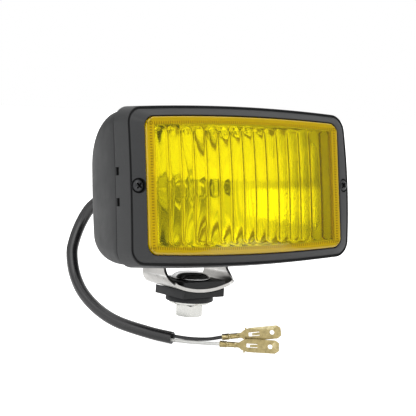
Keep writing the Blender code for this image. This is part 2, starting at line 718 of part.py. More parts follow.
def wiring(parent, looks):
    """The cable with its blades, and inside the housing the joint to the bulb's lead and the earth tag."""
    path = cable_path()
    frames = carried_frames(path, Vector((0, 0, 1)))
    cable_jacket(path, frames, parent, looks["jacket"])
    cable_grommet(parent, looks["rubber"])

    facing = Vector((-0.65, -0.76, -0.05))
    earth_ends = Vector((-8.4, 9.8, -72.3)), Vector((10.0, -12.4, -70.0))
    feed_ends = Vector((-10.8, 8.9, -75.3)), Vector((7.8, -13.3, -77.4))
    for name, ends in (("earth_terminal", earth_ends), ("feed_terminal", feed_ends)):
        blade_terminal(name, terminal_place(*ends, facing), parent, looks["brass"])

    earth_outer = [earth_ends[0].lerp(earth_ends[1], share) for share in (0.18, -0.03)]
    earth_outer += [(-12.6, 16.2, -73.2), (-17.2, 23.8, -72.9)]
    feed_outer = [feed_ends[0].lerp(feed_ends[1], share) for share in (0.18, -0.03)]
    feed_outer += [(-13.4, 17.0, -75.1), (-17.4, 25.4, -74.5)]
    earth_inner = [(-28.4, 49.8, -2.4), (-31.2, 48.4, -5.4), (-31.0, 47.3, -8.4)]
    earth_inner += [(-28.5, 46.9, -9), (-24.6, 46.9, -9)]
    feed_inner = [(-26.4, 50.0, 2.2), (-23.6, 50.3, 4.3), (-20.5, 50.8, 5), (-15.6, 50.8, 5)]
    core("core_black", path, frames, 1, earth_outer, earth_inner, parent, looks["core_black"])
    core("core_white", path, frames, -1, feed_outer, feed_inner, parent, looks["core_white"])

    sleeve = [(1.25 * MM, -5 * MM), (2.2 * MM, -5 * MM), (2.2 * MM, 5 * MM), (1.25 * MM, 5 * MM)]
    sleeve_place = along_x(-14.5 * MM, 50.8 * MM, 5 * MM)
    solid("lead_connector", turned(sleeve, 16), parent, looks["rubber"], sleeve_place)
    lead = [(0, 49.3, 0), (-1.2, 51.2, 0.8), (-5, 51.8, 3.6), (-8.6, 50.9, 5), (-13.2, 50.8, 5)]
    lead_path = smooth([Vector(p) * MM for p in lead], 4)
    solid("bulb_lead", wire(lead_path, 0.8 * MM), parent, looks["core_white"])
    earth_tag(parent, looks["brass"])
    earth_screw(parent, looks["zinc"])


def earth_tag(parent, look):
    """A ring on the reflector's post with a crimped barrel for the black wire."""
    x, z = EARTH_POST
    front = NECK_BACK + GAP
    made = solid("earth_tag", rod(3.4 * MM, front, front + 0.8 * MM, 20), parent, look, along_y(x, 0, z))
    stem = box((x - 7 * MM, front, z - 1.2 * MM), (x - 2 * MM, front + 0.8 * MM, z + 1.2 * MM))
    join(made, solid("earth_stem", stem, parent))
    barrel = rod(BARREL_RADIUS, -8.5 * MM, -4.5 * MM, 16)
    join(made, solid("earth_barrel", barrel, parent, place=along_x(x, 46.9 * MM, z)))
    bore = rod(CORE_RADIUS + 0.25 * MM, -11 * MM, -5.2 * MM, 16)
    cut(made, solid("earth_bore", bore, parent, place=along_x(x, 46.9 * MM, z)))
    hole = rod(1.6 * MM, 40 * MM, 50 * MM, 16)
    cut(made, solid("earth_hole", hole, parent, place=along_y(x, 0, z)))
    return made


def earth_screw(parent, look):
    x, z = EARTH_POST
    profile = [
        (0, 48.3 * MM), (1.8 * MM, 48.1 * MM), (2.4 * MM, 47.4 * MM), (2.4 * MM, 46.7 * MM),
        (1.2 * MM, 46.7 * MM), (1.2 * MM, 41.5 * MM), (0, 41.5 * MM),
    ]
    return solid("earth_screw", turned(profile, 16), parent, look, along_y(x, 0, z))


# ---------------------------------------------------------------- bracket and its fixings

def arc_drop(radius, x):
    """Height of a circle about the roll axis, below its centre, at this x."""
    return ARC_HEIGHT - math.sqrt(radius * radius - x * x)


def strap_middle():
    """Middle line of the strap in the XZ plane: (x, z, outward x, outward z), from left leg to right leg."""
    radius = ARC_OUTSIDE - STRAP / 2
    bend = BEND_OUTSIDE - STRAP / 2
    leg_x = LEG_OUTSIDE - STRAP / 2
    bend_x = leg_x - bend
    bend_z = ARC_HEIGHT - math.sqrt((radius - bend) ** 2 - bend_x ** 2)
    spread = math.asin(bend_x / (radius - bend))
    half = []
    for k in range(9):
        angle = spread * k / 8
        out = (math.sin(angle), -math.cos(angle))
        half.append((radius * out[0], ARC_HEIGHT + radius * out[1], *out))
    for k in range(1, 6):
        angle = spread + (math.pi / 2 - spread) * k / 5
        out = (math.sin(angle), -math.cos(angle))
        half.append((bend_x + bend * out[0], bend_z + bend * out[1], *out))
    heights = [17 * MM, 19 * MM, 21 * MM, PIVOT_Z]
    heights += [PIVOT_Z + LEG_TOP * math.sin(math.radians(a)) for a in (20, 38, 54, 68, 80)]
    half += [(leg_x, z, 1, 0) for z in heights]
    return [(-x, z, -out_x, out_z) for x, z, out_x, out_z in half[:0:-1]] + half


def strap_edges(z):
    """Front and back edges of the strap at a height: a wide foot, a flared leg, a round top."""
    if z > PIVOT_Z:
        half = math.sqrt(LEG_TOP ** 2 - (z - PIVOT_Z) ** 2)
        return PIVOT_Y - half, PIVOT_Y + half
    flare = min(1, max(0, (21 * MM - z) / (10 * MM)))
    return PIVOT_Y - LEG_TOP - 7.5 * MM * flare ** 2, PIVOT_Y + LEG_TOP


def u_bracket(parent, look):
    """A strap bent into a U with a curved foot, slotted for the bolt, its legs drilled for the pivot."""
    rings = []
    for x, z, out_x, out_z in strap_middle():
        front, back = strap_edges(z)
        outer = (x + out_x * STRAP / 2, z + out_z * STRAP / 2)
        inner = (x - out_x * STRAP / 2, z - out_z * STRAP / 2)
        ring = [(outer, front), (outer, back), (inner, back), (inner, front)]
        rings.append([(px, y, pz) for (px, pz), y in ring])
    made = solid("u_bracket", loft(rings), parent, look)
    slot_half, slot_radius = ROLL_SLOT
    outline = []
    for k in range(20):
        angle = 2 * math.pi * (k + 0.5) / 20
        shift = math.copysign(slot_half - slot_radius, math.cos(angle))
        outline.append((shift + slot_radius * math.cos(angle), slot_radius * math.sin(angle)))
    slot = loft([[(x, y, z) for x, y in outline] for z in (0, 14 * MM)])
    cut(made, solid("roll_slot", slot, parent))
    bore = rod(PIVOT_BORE, -30 * MM, 30 * MM, 24)
    cut(made, solid("leg_bores", bore, parent, place=along_x(0, PIVOT_Y, PIVOT_Z)))
    return made


def curved_block(name, bottom, top, parent, look=None):
    """A block over BLOCK_HALF whose bottom and top heights are functions of x."""
    rings = []
    for k in range(15):
        x = BLOCK_HALF[0] * (2 * k / 14 - 1)
        depth = BLOCK_HALF[1]
        low, high = bottom(x), top(x)
        rings.append([(x, -depth, low), (x, depth, low), (x, depth, high), (x, -depth, high)])
    return solid(name, loft(rings), parent, look)


def saddle_block(parent, look):
    """The block under the strap, with a round boss whose raised ring clamps to the vehicle."""
    top = ARC_OUTSIDE + ARC_GAP
    made = curved_block("saddle_block", lambda x: BOSS_HEIGHT, lambda x: arc_drop(top, x), parent, look)
    ring_inner, ring_outer = 10.3 * MM, 11.4 * MM
    profile = [
        (0, BOSS_HEIGHT + 0.5 * MM), (BOSS_RADIUS - 0.6 * MM, BOSS_HEIGHT + 0.5 * MM),
        (BOSS_RADIUS - 0.2 * MM, BOSS_HEIGHT - 0.5 * MM), (BOSS_RADIUS, 0.7 * MM),
        (BOSS_RADIUS - 0.2 * MM, 0.25 * MM), (ring_outer, 0), (ring_inner, 0), (ring_inner, GAP), (0, GAP),
    ]
    join(made, solid("boss", turned(profile, 36, math.radians(5)), parent))
    cut(made, solid("saddle_bore", rod(BOLT_BORE, -2 * MM, 12 * MM, 24), parent))
    return made


def upper_pad(parent, look):
    """The block above the strap, which the bolt's head presses down."""
    bottom = ARC_OUTSIDE - STRAP - ARC_GAP
    made = curved_block("upper_pad", lambda x: arc_drop(bottom, x), lambda x: PAD_TOP, parent, look)
    cut(made, solid("pad_bore", rod(BOLT_BORE, 2 * MM, 14 * MM, 24), parent))
    return made


def main_bolt(parent, look):
    """A mushroom-headed bolt, its head on the upper pad and its thread below the boss."""
    head = 10 * MM
    seat = PAD_TOP + GAP
    profile = [
        (0, seat + 3.4 * MM), (0.42 * head, seat + 3.2 * MM), (0.72 * head, seat + 2.5 * MM),
        (0.92 * head, seat + 1.4 * MM), (head, seat + 0.5 * MM), (head, seat), (BOLT_RADIUS, seat),
        (BOLT_RADIUS, -6.4 * MM), (BOLT_RADIUS - 0.8 * MM, -7.2 * MM), (0, -7.2 * MM),
    ]
    return solid("main_bolt", turned(profile, 28), parent, look)


def washer(name, outer, bore, thickness, parent, look, place):
    """A flat ring from z = 0 upwards, with its lower outer edge broken."""
    edge = 0.2 * MM
    profile = [(bore, 0), (outer - edge, 0), (outer, edge), (outer, thickness), (bore, thickness)]
    return solid(name, turned(profile, 24), parent, look, place)


def hexagon(name, across_flats, height, turn, parent, look, place):
    """A hexagonal prism from z = 0 upwards whose corners are turned down at both ends."""
    corner = across_flats / math.sqrt(3)
    flat = 0.97 * across_flats / 2
    made = solid(name, rod(corner, 0, height, 6, turn), parent, look, place)
    fall = (corner - flat) * math.tan(math.radians(28))
    over = 1.5 * MM
    rise = fall * over / (corner - flat)
    envelope = [
        (0, height + MM), (flat, height), (corner + over, height - fall - rise),
        (corner + over, fall + rise), (flat, 0), (0, -MM),
    ]
    return change(made, "INTERSECT", solid(f"{name}_chamfers", turned(envelope, 36), parent, place=place))


def hex_nut(name, across_flats, height, bore, turn, parent, look, place):
    made = hexagon(name, across_flats, height, turn, parent, look, place)
    return cut(made, solid(f"{name}_thread", rod(bore, -5 * MM, height + 5 * MM, 24), parent, place=place))


def pivot_bolt(parent, look):
    """A hexagon bolt right through both legs and the knuckle, its head on the left."""
    place = along_x(-26.4 * MM, PIVOT_Y, PIVOT_Z)
    made = hexagon("pivot_bolt", 10 * MM, 4 * MM, 0, parent, look, place)
    tip = 54 * MM
    profile = [(0, 2 * MM), (PIVOT_BOLT, 2 * MM), (PIVOT_BOLT, tip)]
    profile += [(2.4 * MM, tip + 0.6 * MM), (0, tip + 0.6 * MM)]
    return join(made, solid("pivot_shank", turned(profile), parent, place=place))


def pivot_fixings(parent, looks):
    """The pivot bolt with its nut, an outer washer on each leg and a friction washer inside each leg."""
    pivot_bolt(parent, looks["zinc"])
    nut_place = along_x(22.4 * MM, PIVOT_Y, PIVOT_Z)
    hex_nut("pivot_nut", 10 * MM, 5 * MM, PIVOT_BORE, 0, parent, looks["zinc"], nut_place)
    thickness = 1.2 * MM
    for side, word in SIDES:
        outer_face = LEG_OUTSIDE + GAP if side > 0 else -LEG_OUTSIDE - GAP - thickness
        place = along_x(outer_face, PIVOT_Y, PIVOT_Z)
        washer(f"pivot_washer_{word}", 6 * MM, PIVOT_BORE, thickness, parent, looks["zinc"], place)
        inner_face = LUG_HALF + GAP if side > 0 else -LUG_HALF - GAP - MM
        place = along_x(inner_face, PIVOT_Y, PIVOT_Z)
        washer(f"friction_washer_{word}", 7.5 * MM, PIVOT_BORE, MM, parent, looks["rubber"], place)


def clamp_stack(parent, looks):
    """Everything threaded on the upright bolt."""
    main_bolt(parent, looks["chrome"])
    upper_pad(parent, looks["block"])
    saddle_block(parent, looks["block"])
    bore = BOLT_RADIUS + 0.2 * MM
    thickness = 1.2 * MM
    washer_place = Matrix.Translation((0, 0, -thickness))
    washer("flat_washer", 10 * MM, bore, thickness, parent, looks["zinc"], washer_place)
    nut_place = Matrix.Translation((0, 0, -7.7 * MM))
    hex_nut("hex_nut", 13 * MM, 6.2 * MM, bore, math.radians(-2.5), parent, looks["zinc"], nut_place)


def main():
    clear_scene()
    looks = {
        "plastic": material("black_plastic", (0.075, 0.077, 0.080), 0.55),
        "block": material("block_plastic", (0.045, 0.046, 0.048), 0.6),
        "glass": material("yellow_glass", (0.93, 0.80, 0.0), 0.08, alpha=0.6),
        "clear": material("clear_glass", (0.9, 0.92, 0.92), 0.03, alpha=0.3),
        "mirror": material("reflector_coating", (0.85, 0.85, 0.84), 0.12, 1.0),
        "rubber": material("rubber", (0.03, 0.03, 0.03), 0.8),
        "screw": material("black_screw", (0.02, 0.02, 0.02), 0.35, 0.6),
        "chrome": material("chrome", (0.62, 0.62, 0.62), 0.08, 1.0),
        "steel": material("bracket_steel", (0.72, 0.72, 0.70), 0.25, 1.0),
        "zinc": material("bright_zinc", (0.80, 0.80, 0.78), 0.22, 1.0),
        "brass": material("brass", (0.45, 0.37, 0.15), 0.3, 1.0),
        "jacket": material("cable_jacket", (0.025, 0.025, 0.025), 0.35),
        "core_black": material("core_black", (0.02, 0.02, 0.02), 0.4),
        "core_white": material("core_white", (0.85, 0.85, 0.82), 0.4),
    }
    swivel = frame_empty("swivel_axis", (0, CONTACT_RADIUS, 0))
    roll = frame_empty("roll_axis", (0, 0, ARC_HEIGHT), parent=swivel)
    bracket = frame_empty("bracket_frame", (0, 0, -ARC_HEIGHT), parent=roll)
    tilt = frame_empty("tilt_axis", (0, PIVOT_Y, PIVOT_Z), REST_TILT, bracket)
    head = frame_empty("head_frame", (0, -PIVOT_DEPTH, PIVOT_DROP), parent=tilt)

    clamp_stack(swivel, looks)
    u_bracket(bracket, looks["steel"])
    pivot_fixings(bracket, looks)

    rear_housing(head, looks["plastic"])
    front_frame(head, looks["plastic"])
    lens(head, looks["glass"])
    lens_gasket(head, looks["rubber"])
    reflector(head, looks["mirror"])
    for side, word in SIDES:
        frame_screw(side, word, head, looks["screw"])
    bulb_glass(head, looks["clear"])
    bulb_base(head, looks["zinc"])
    bulb_clip(head, looks["zinc"])
    wiring(head, looks)
    bpy.context.view_layer.update()


main()
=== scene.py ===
"""Looks of the rectangular fog light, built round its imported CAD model.

Shapes are written in millimetres. The lamp's pieces are modelled upright in the lamp's own frame, with the
origin at the middle of its face and +Y to the back. The others are modelled about the upright clamp bolt.
"""

import json
import math

import bmesh
import bpy
import numpy as np
from mathutils import Matrix, Vector


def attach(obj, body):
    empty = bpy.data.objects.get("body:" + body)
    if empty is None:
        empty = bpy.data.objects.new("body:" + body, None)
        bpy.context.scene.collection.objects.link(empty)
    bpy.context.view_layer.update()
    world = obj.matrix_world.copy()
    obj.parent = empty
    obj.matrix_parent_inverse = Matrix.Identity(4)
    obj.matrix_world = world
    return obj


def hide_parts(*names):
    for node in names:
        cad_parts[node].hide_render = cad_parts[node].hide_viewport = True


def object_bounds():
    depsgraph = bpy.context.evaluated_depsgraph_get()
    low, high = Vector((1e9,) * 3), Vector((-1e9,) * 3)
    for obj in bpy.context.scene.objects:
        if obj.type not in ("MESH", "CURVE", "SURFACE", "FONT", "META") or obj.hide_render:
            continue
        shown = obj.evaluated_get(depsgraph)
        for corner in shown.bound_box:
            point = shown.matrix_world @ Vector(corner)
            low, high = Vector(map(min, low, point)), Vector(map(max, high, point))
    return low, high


MM = 0.001
GAP = 0.3
SIDES = ((-1, "left"), (1, "right"))

# Lamp head
TOP_BULGE = 2.3
SIDE_BULGE = 0.5
FRAME_DEPTH = 10.2
FRAME_WALL = 1.7
FRONT_HALF = (68.3, 35.7)
PARTING_HALF = (68.5, 36.5)
CORNER = 7.5
FACE_RISE = 3.2
FRONT_BOW = 1.7
PARTING_BOW = 1.2
WINDOW_BOW = 0.5
GROOVE_FLOOR = 0.9
WINDOW_HALF = (60.8, 31.3)
WINDOW_CORNER = 5
WINDOW_BULGE = 1.8
LIP_BACK = 0.9
SHOULDER = 2.5
SHOULDER_BOW = 1.6
SLOT_HEIGHT = 3.8
SLOT_LENGTH = 2.6
SLOT_OFFSET = 7
SCREW_X = 64.5
SCREW_SEAT = 3.5
SCREW_FLOOR = -1.2
SCREW_POST = 2.5
HOUSING_HALF = (67.5, 35.6)
HOUSING_CORNER = 6.8
HOUSING_WALL = 2.2
SIDE_TAPER = 0.23
TOP_TAPER = 0.034
BOWL_BEND_START = 19
BOWL_BEND_END = 49.7
BOWL_BEND = (6, 16.2)
BOWL_SAG = 8.3
HUMP_SAG = 3.5
HUMP_HALF = (38, 17.6)
HUMP_END = 57
SEAT_HALF = (64.6, 32.2)
SEAT_DEPTH = 6.6

# Lens, reflector and bulb
LENS_HALF = (60.4, 30.9)
LENS_CORNER = 5
LENS_FRONT = -3.7
LENS_BACK = -0.6
LENS_NECK = 1.8
LENS_CROWN = 1.3
FLANGE_HALF = (64.2, 31.8)
FLANGE_FRONT = 1.3
FLANGE_BACK = 3.0
FLUTES = 15
FLUTE_PITCH = 7.36
FLUTE_HALF_HEIGHT = 27.4
FLUTE_RELIEF = 0.65
FLUTE_SHARE = 0.875
FLUTE_ARCH = 1.7
TICK_PITCH = 1.3
FOCAL_LENGTH = 18.5
REFLECTOR_VERTEX = 44.6
REFLECTOR_HALF_HEIGHT = 29
PLATE_FRONT = 5.1
NECK_BACK = 45.3
BULB_HOLE = 6
EARTH_POST = (-19, -9)

# Bracket and clamp
BOLT_RADIUS = 4
BOSS_RADIUS = 12.1
BOSS_HEIGHT = 3
BLOCK_HALF = (13.3, 12)
PAD_TOP = 11.2
STRAP = 1.6
ARC_HEIGHT = 55.5
ARC_OUTSIDE = 49.8
ARC_GAP = 0.25
LEG_OUTSIDE = 20.6
BEND_OUTSIDE = 5.8
ROLL_SLOT = (9.4, 4.4)
PIVOT_Y = 4.5
PIVOT_Z = 27
LEG_TOP = 8.5
PIVOT_BOLT = 3
PIVOT_BORE = 3.3
REST_TILT = math.radians(8)
TILT_DOWN = math.radians(25)
TILT_UP = math.radians(30)
PIVOT_DEPTH = 46
PIVOT_DROP = 28.4
LUG_HALF = 17.4
LUG_RADIUS = 8
HOLLOW_RADIUS = 10
HOLLOW_END = 29.5
HOLLOW_WALL = 1.6

# Cable
JACKET_RADIUS = 3.0
CORE_RADIUS = 0.85
CORE_OFFSET = 1.0
CABLE_EXIT = (-27, 0)
TAB_THICKNESS = 0.8

# Camera
CAMERA_PLACE = Vector((-0.4100, -0.4982, 0.1052))
CAMERA_AZIMUTH = math.radians(-39.38)
CAMERA_ELEVATION = math.radians(4.19)
CAMERA_ROLL = math.radians(-0.12)
CAMERA_LENS = 112.9
CAMERA_SHIFT = -0.048

# Directions of the dark panels that keep reflections off the front of the glass and off the housing's side
DARK_SIDE = (0.634, -0.760, 0.142)
DARK_BACK = (-0.15, 0.98, 0.1)

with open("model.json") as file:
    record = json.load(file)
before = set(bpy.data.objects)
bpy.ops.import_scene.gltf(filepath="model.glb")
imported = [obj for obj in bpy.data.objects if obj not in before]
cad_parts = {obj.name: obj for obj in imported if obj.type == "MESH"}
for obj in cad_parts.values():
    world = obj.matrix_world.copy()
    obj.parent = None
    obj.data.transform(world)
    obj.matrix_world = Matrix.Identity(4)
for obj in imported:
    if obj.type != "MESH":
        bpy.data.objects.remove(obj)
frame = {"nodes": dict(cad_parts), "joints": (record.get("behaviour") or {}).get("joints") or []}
cad_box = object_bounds()


def joint_place(name):
    joint = next(j for j in frame["joints"] if j["name"] == name)
    return Matrix.Translation(joint["pos_m"])


BOLT = joint_place("swivel")
HEAD_FROM_PIVOT = Matrix.Translation((0, -PIVOT_DEPTH * MM, PIVOT_DROP * MM))
LAMP = joint_place("tilt") @ Matrix.Rotation(-REST_TILT, 4, "X") @ HEAD_FROM_PIVOT


# ---------------------------------------------------------------- mesh helpers

def raw(name, shape, place=None):
    """An object from (points, faces) in millimetres, its faces turned outwards."""
    points, faces = shape
    mesh = bpy.data.meshes.new(name)
    mesh.from_pydata([tuple(c * MM for c in p) for p in points], [], faces)
    bm = bmesh.new()
    bm.from_mesh(mesh)
    bmesh.ops.recalc_face_normals(bm, faces=bm.faces)
    if place is not None:
        bmesh.ops.transform(bm, matrix=place, verts=bm.verts)
    bm.to_mesh(mesh)
    bm.free()
    made = bpy.data.objects.new(name, mesh)
    bpy.context.scene.collection.objects.link(made)
    return made


def combine(target, operation, *tools):
    """Cuts, joins or intersects target with helper objects, which are then removed."""
    for tool in tools:
        modifier = target.modifiers.new("combine", "BOOLEAN")
        modifier.operation = operation
        modifier.object = tool
    bpy.context.view_layer.update()
    graph = bpy.context.evaluated_depsgraph_get()
    mesh = bpy.data.meshes.new_from_object(target.evaluated_get(graph))
    target.modifiers.clear()
    target.data = mesh
    for tool in tools:
        bpy.data.objects.remove(tool, do_unlink=True)
    return target


def cut(target, *tools):
    return combine(target, "DIFFERENCE", *tools)


def join(target, *tools):
    return combine(target, "UNION", *tools)


def settle(made, place, body, look, nodes=(), edge=0.0, angle=32, upright=False):
    """Gives a finished mesh its edges, shading, finish, place and body.

    An 'upright' piece keeps the coordinates it was modelled in, for finishes that are laid out by them.
    """
    mesh = made.data
    mesh.shade_smooth()
    mesh.set_sharp_from_angle(angle=math.radians(angle))
    if edge:
        bevel = made.modifiers.new("edges", "BEVEL")
        bevel.width = edge * MM
        bevel.segments = 2
        bevel.limit_method = "ANGLE"
        bevel.angle_limit = math.radians(angle)
        bevel.harden_normals = True
    mesh.materials.clear()
    mesh.materials.append(look)
    if upright:
        made.matrix_world = place
    else:
        mesh.transform(place)
    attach(made, body)
    if nodes:
        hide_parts(*nodes)
    return made


def loft(rings, ring_shaped=False):
    """A skin through rings of equal length, capped at both ends or closed on itself."""
    count = len(rings[0])
    points = [p for ring in rings for p in ring]
    faces = []
    spans = len(rings) if ring_shaped else len(rings) - 1
    for i in range(spans):
        low = i * count
        high = (i + 1) % len(rings) * count
        for k in range(count):
            after = (k + 1) % count
            faces.append((low + k, low + after, high + after, high + k))
    if not ring_shaped:
        faces.append(tuple(range(count)))
        faces.append(tuple(range(len(points) - count, len(points))))
    return points, faces


def circle(radius, count, start=0.0):
    angles = [start + 2 * math.pi * k / count for k in range(count)]
    return [(radius * math.cos(a), radius * math.sin(a)) for a in angles]


def paint_where(made, inside):
    """Gives the second material to the faces whose middle, in the lamp's frame, satisfies 'inside'."""
    back = LAMP.inverted()
    for face in made.data.polygons:
        if inside(back @ face.center / MM):
            face.material_index = 1


def turned(profile, segments=64, start=0.0):
    """Revolves (radius, height) points about Z. Both ends on the axis make a solid, otherwise a ring."""
    on_axis = profile[0][0] == 0
    body = profile[1:-1] if on_axis else profile
    rings = [[(x, y, height) for x, y in circle(radius, segments, start)] for radius, height in body]
    if not on_axis:
        return loft(rings, ring_shaped=True)
    points, faces = loft(rings)
    faces = faces[:-2]
    first, last = len(points), len(points) + 1
    points += [(0, 0, profile[0][1]), (0, 0, profile[-1][1])]
    base = (len(rings) - 1) * segments
    for k in range(segments):
        after = (k + 1) % segments
        faces.append((first, after, k))
        faces.append((last, base + k, base + after))
    return points, faces


def softened(points, cuts, axes=(0, 1), closed=True, steps=4):
    """Rounds the corners of a profile: a curve replaces each corner, starting 'cut' before it."""
    points = [np.array(p, float) for p in points]
    axes = list(axes)
    made = []
    for i, (corner, cut_length) in enumerate(zip(points, cuts)):
        at_end = not closed and i in (0, len(points) - 1)
        if at_end or not cut_length:
            made.append(tuple(corner))
            continue
        ends = []
        for other in (points[i - 1], points[(i + 1) % len(points)]):
            length = math.dist(corner[axes], other[axes])
            ends.append(corner + (other - corner) * min(0.45, cut_length / length))
        for k in range(steps + 1):
            t = k / steps
            made.append(tuple(ends[0] * (1 - t) ** 2 + 2 * corner * t * (1 - t) + ends[1] * t * t))
    return made


def rod(radius, low, high, segments=48, start=0.0):
    return turned([(0, low), (radius, low), (radius, high), (0, high)], segments, start)


def box(low, high):
    corners = [(x, y, z) for x in (low[0], high[0]) for y in (low[1], high[1]) for z in (low[2], high[2])]
    faces = [(0, 1, 3, 2), (4, 6, 7, 5), (0, 4, 5, 1), (2, 3, 7, 6), (0, 2, 6, 4), (1, 5, 7, 3)]
    return corners, faces


def along_x(x=0.0, y=0.0, z=0.0):
    """Places a piece modelled about Z so that its axis runs along X."""
    return Matrix.Translation((x * MM, y * MM, z * MM)) @ Matrix.Rotation(math.pi / 2, 4, "Y")


def along_y(x=0.0, y=0.0, z=0.0):
    """Places a piece modelled about Z so that its axis runs along +Y."""
    return Matrix.Translation((x * MM, y * MM, z * MM)) @ Matrix.Rotation(-math.pi / 2, 4, "X")


def pillow(half, corner, depth, top_bulge=TOP_BULGE, side_bulge=SIDE_BULGE, corner_steps=14, edge_steps=18):
    """A rounded rectangle at this depth, whose edges bow outwards."""
    wide, high = half
    outline = []
    for sx, sz, start in ((1, 1, 0), (-1, 1, 90), (-1, -1, 180), (1, -1, 270)):
        for k in range(corner_steps + 1):
            angle = math.radians(start + 90 * k / corner_steps)
            x = sx * (wide - corner) + corner * math.cos(angle)
            z = sz * (high - corner) + corner * math.sin(angle)
            outline.append((x, z))
    points = []
    for i, (x, z) in enumerate(outline):
        points.append((x, z))
        if i % (corner_steps + 1) == corner_steps:
            x2, z2 = outline[(i + 1) % len(outline)]
            for k in range(1, edge_steps):
                share = k / edge_steps
                points.append((x + (x2 - x) * share, z + (z2 - z) * share))
    bowed = []
    for x, z in points:
        lift = top_bulge * (1 - (x / wide) ** 2) * max(-1, min(1, z / (0.8 * high)))
        push = side_bulge * (1 - (z / high) ** 2) * max(-1, min(1, x / (0.8 * wide)))
        bowed.append((x + push, depth, z + lift))
    return bowed


def inset(half, by):
    return half[0] - by, half[1] - by


def smooth(points, steps):
    """Points along a Catmull-Rom curve through these points."""
    points = [Vector(p) for p in points]
    padded = [2 * points[0] - points[1]] + points + [2 * points[-1] - points[-2]]
    path = []
    for a, b, c, d in zip(padded, padded[1:], padded[2:], padded[3:]):
        for k in range(steps):
            t = k / steps
            path.append(0.5 * (2 * b + (c - a) * t + (2 * a - 5 * b + 4 * c - d) * t * t
                               + (3 * b - a - 3 * c + d) * t ** 3))
    return path + [points[-1]]


def carried_frames(path, up):
    """Two directions square to the path at each point, turned as little as possible from the first 'up'."""
    frames = []
    for i in range(len(path)):
        ahead = (path[min(i + 1, len(path) - 1)] - path[max(i - 1, 0)]).normalized()
        up = (up - ahead * up.dot(ahead)).normalized()
        frames.append((up, ahead.cross(up)))
    return frames


def tube_rings(path, frames, radius, segments):
    """Rings round a path. The radius may be one number or one for each point."""
    radii = radius if isinstance(radius, list) else [radius] * len(path)
    rings = []
    for point, (up, across), r in zip(path, frames, radii):
        rings.append([point + up * x + across * y for x, y in circle(r, segments)])
    return rings


def wire(path, radius, segments=20, up=Vector((0.1, 0.2, 1))):
    path = [Vector(p) for p in path]
    return loft(tube_rings(path, carried_frames(path, up), radius, segments))


def threaded(radius, depth, pitch, low, high, segments=48, steps=10):
    """A rod with a helical V thread that fades out at both ends."""
    count = max(2, round((high - low) / pitch * steps))
    rings = []
    for i in range(count + 1):
        z = low + (high - low) * i / count
        fade = min(1, (high - z) / pitch, (z - low) / pitch)
        ring = []
        for k in range(segments):
            angle = 2 * math.pi * k / segments
            phase = (z / pitch - k / segments) % 1
            r = radius - depth * abs(2 * phase - 1) * fade - 0.6 * depth * (1 - fade)
            ring.append((r * math.cos(angle), r * math.sin(angle), z))
        rings.append(ring)
    return loft(rings)


# ---------------------------------------------------------------- materials

def node(tree, kind, inputs=None, **settings):
    """A shader node with its settings and inputs. An input may be a value or another node's socket."""
    made = tree.nodes.new(kind)
    for key, value in settings.items():
        setattr(made, key, value)
    for key, value in (inputs or {}).items():
        if isinstance(value, bpy.types.NodeSocket):
            tree.links.new(value, made.inputs[key])
        else:
            made.inputs[key].default_value = value
    return made


def value_noise(tree, where, scale, detail=3.0, stretch=(1, 1, 1)):
    """Noise between 0 and 1 at this many features per metre."""
    if stretch != (1, 1, 1):
        where = node(tree, "ShaderNodeMapping", {"Vector": where, "Scale": stretch}).outputs[0]
    inputs = {"Vector": where, "Scale": scale, "Detail": detail, "Roughness": 0.6}
    return node(tree, "ShaderNodeTexNoise", inputs).outputs["Fac"]


def remap(tree, value, low, high, from_low=0.3, from_high=0.7):
    inputs = {"Value": value, "From Min": from_low, "From Max": from_high, "To Min": low, "To Max": high}
    return node(tree, "ShaderNodeMapRange", inputs).outputs[0]


def blend_colour(tree, share, first, second):
    made = node(tree, "ShaderNodeMix", data_type="RGBA")
    sockets = {"Factor": 0, "A": 6, "B": 7}
    for key, value in (("Factor", share), ("A", first), ("B", second)):
        socket = made.inputs[sockets[key]]
        if isinstance(value, bpy.types.NodeSocket):
            tree.links.new(value, socket)
        elif key == "Factor":
            socket.default_value = value
        else:
            socket.default_value = (*value, 1)
    return made.outputs[2]


def convex_edges(tree, low=0.53, high=0.62):
    """1 on edges that stand proud, 0 elsewhere."""
    pointiness = node(tree, "ShaderNodeNewGeometry").outputs["Pointiness"]
    return remap(tree, pointiness, 0, 1, low, high)


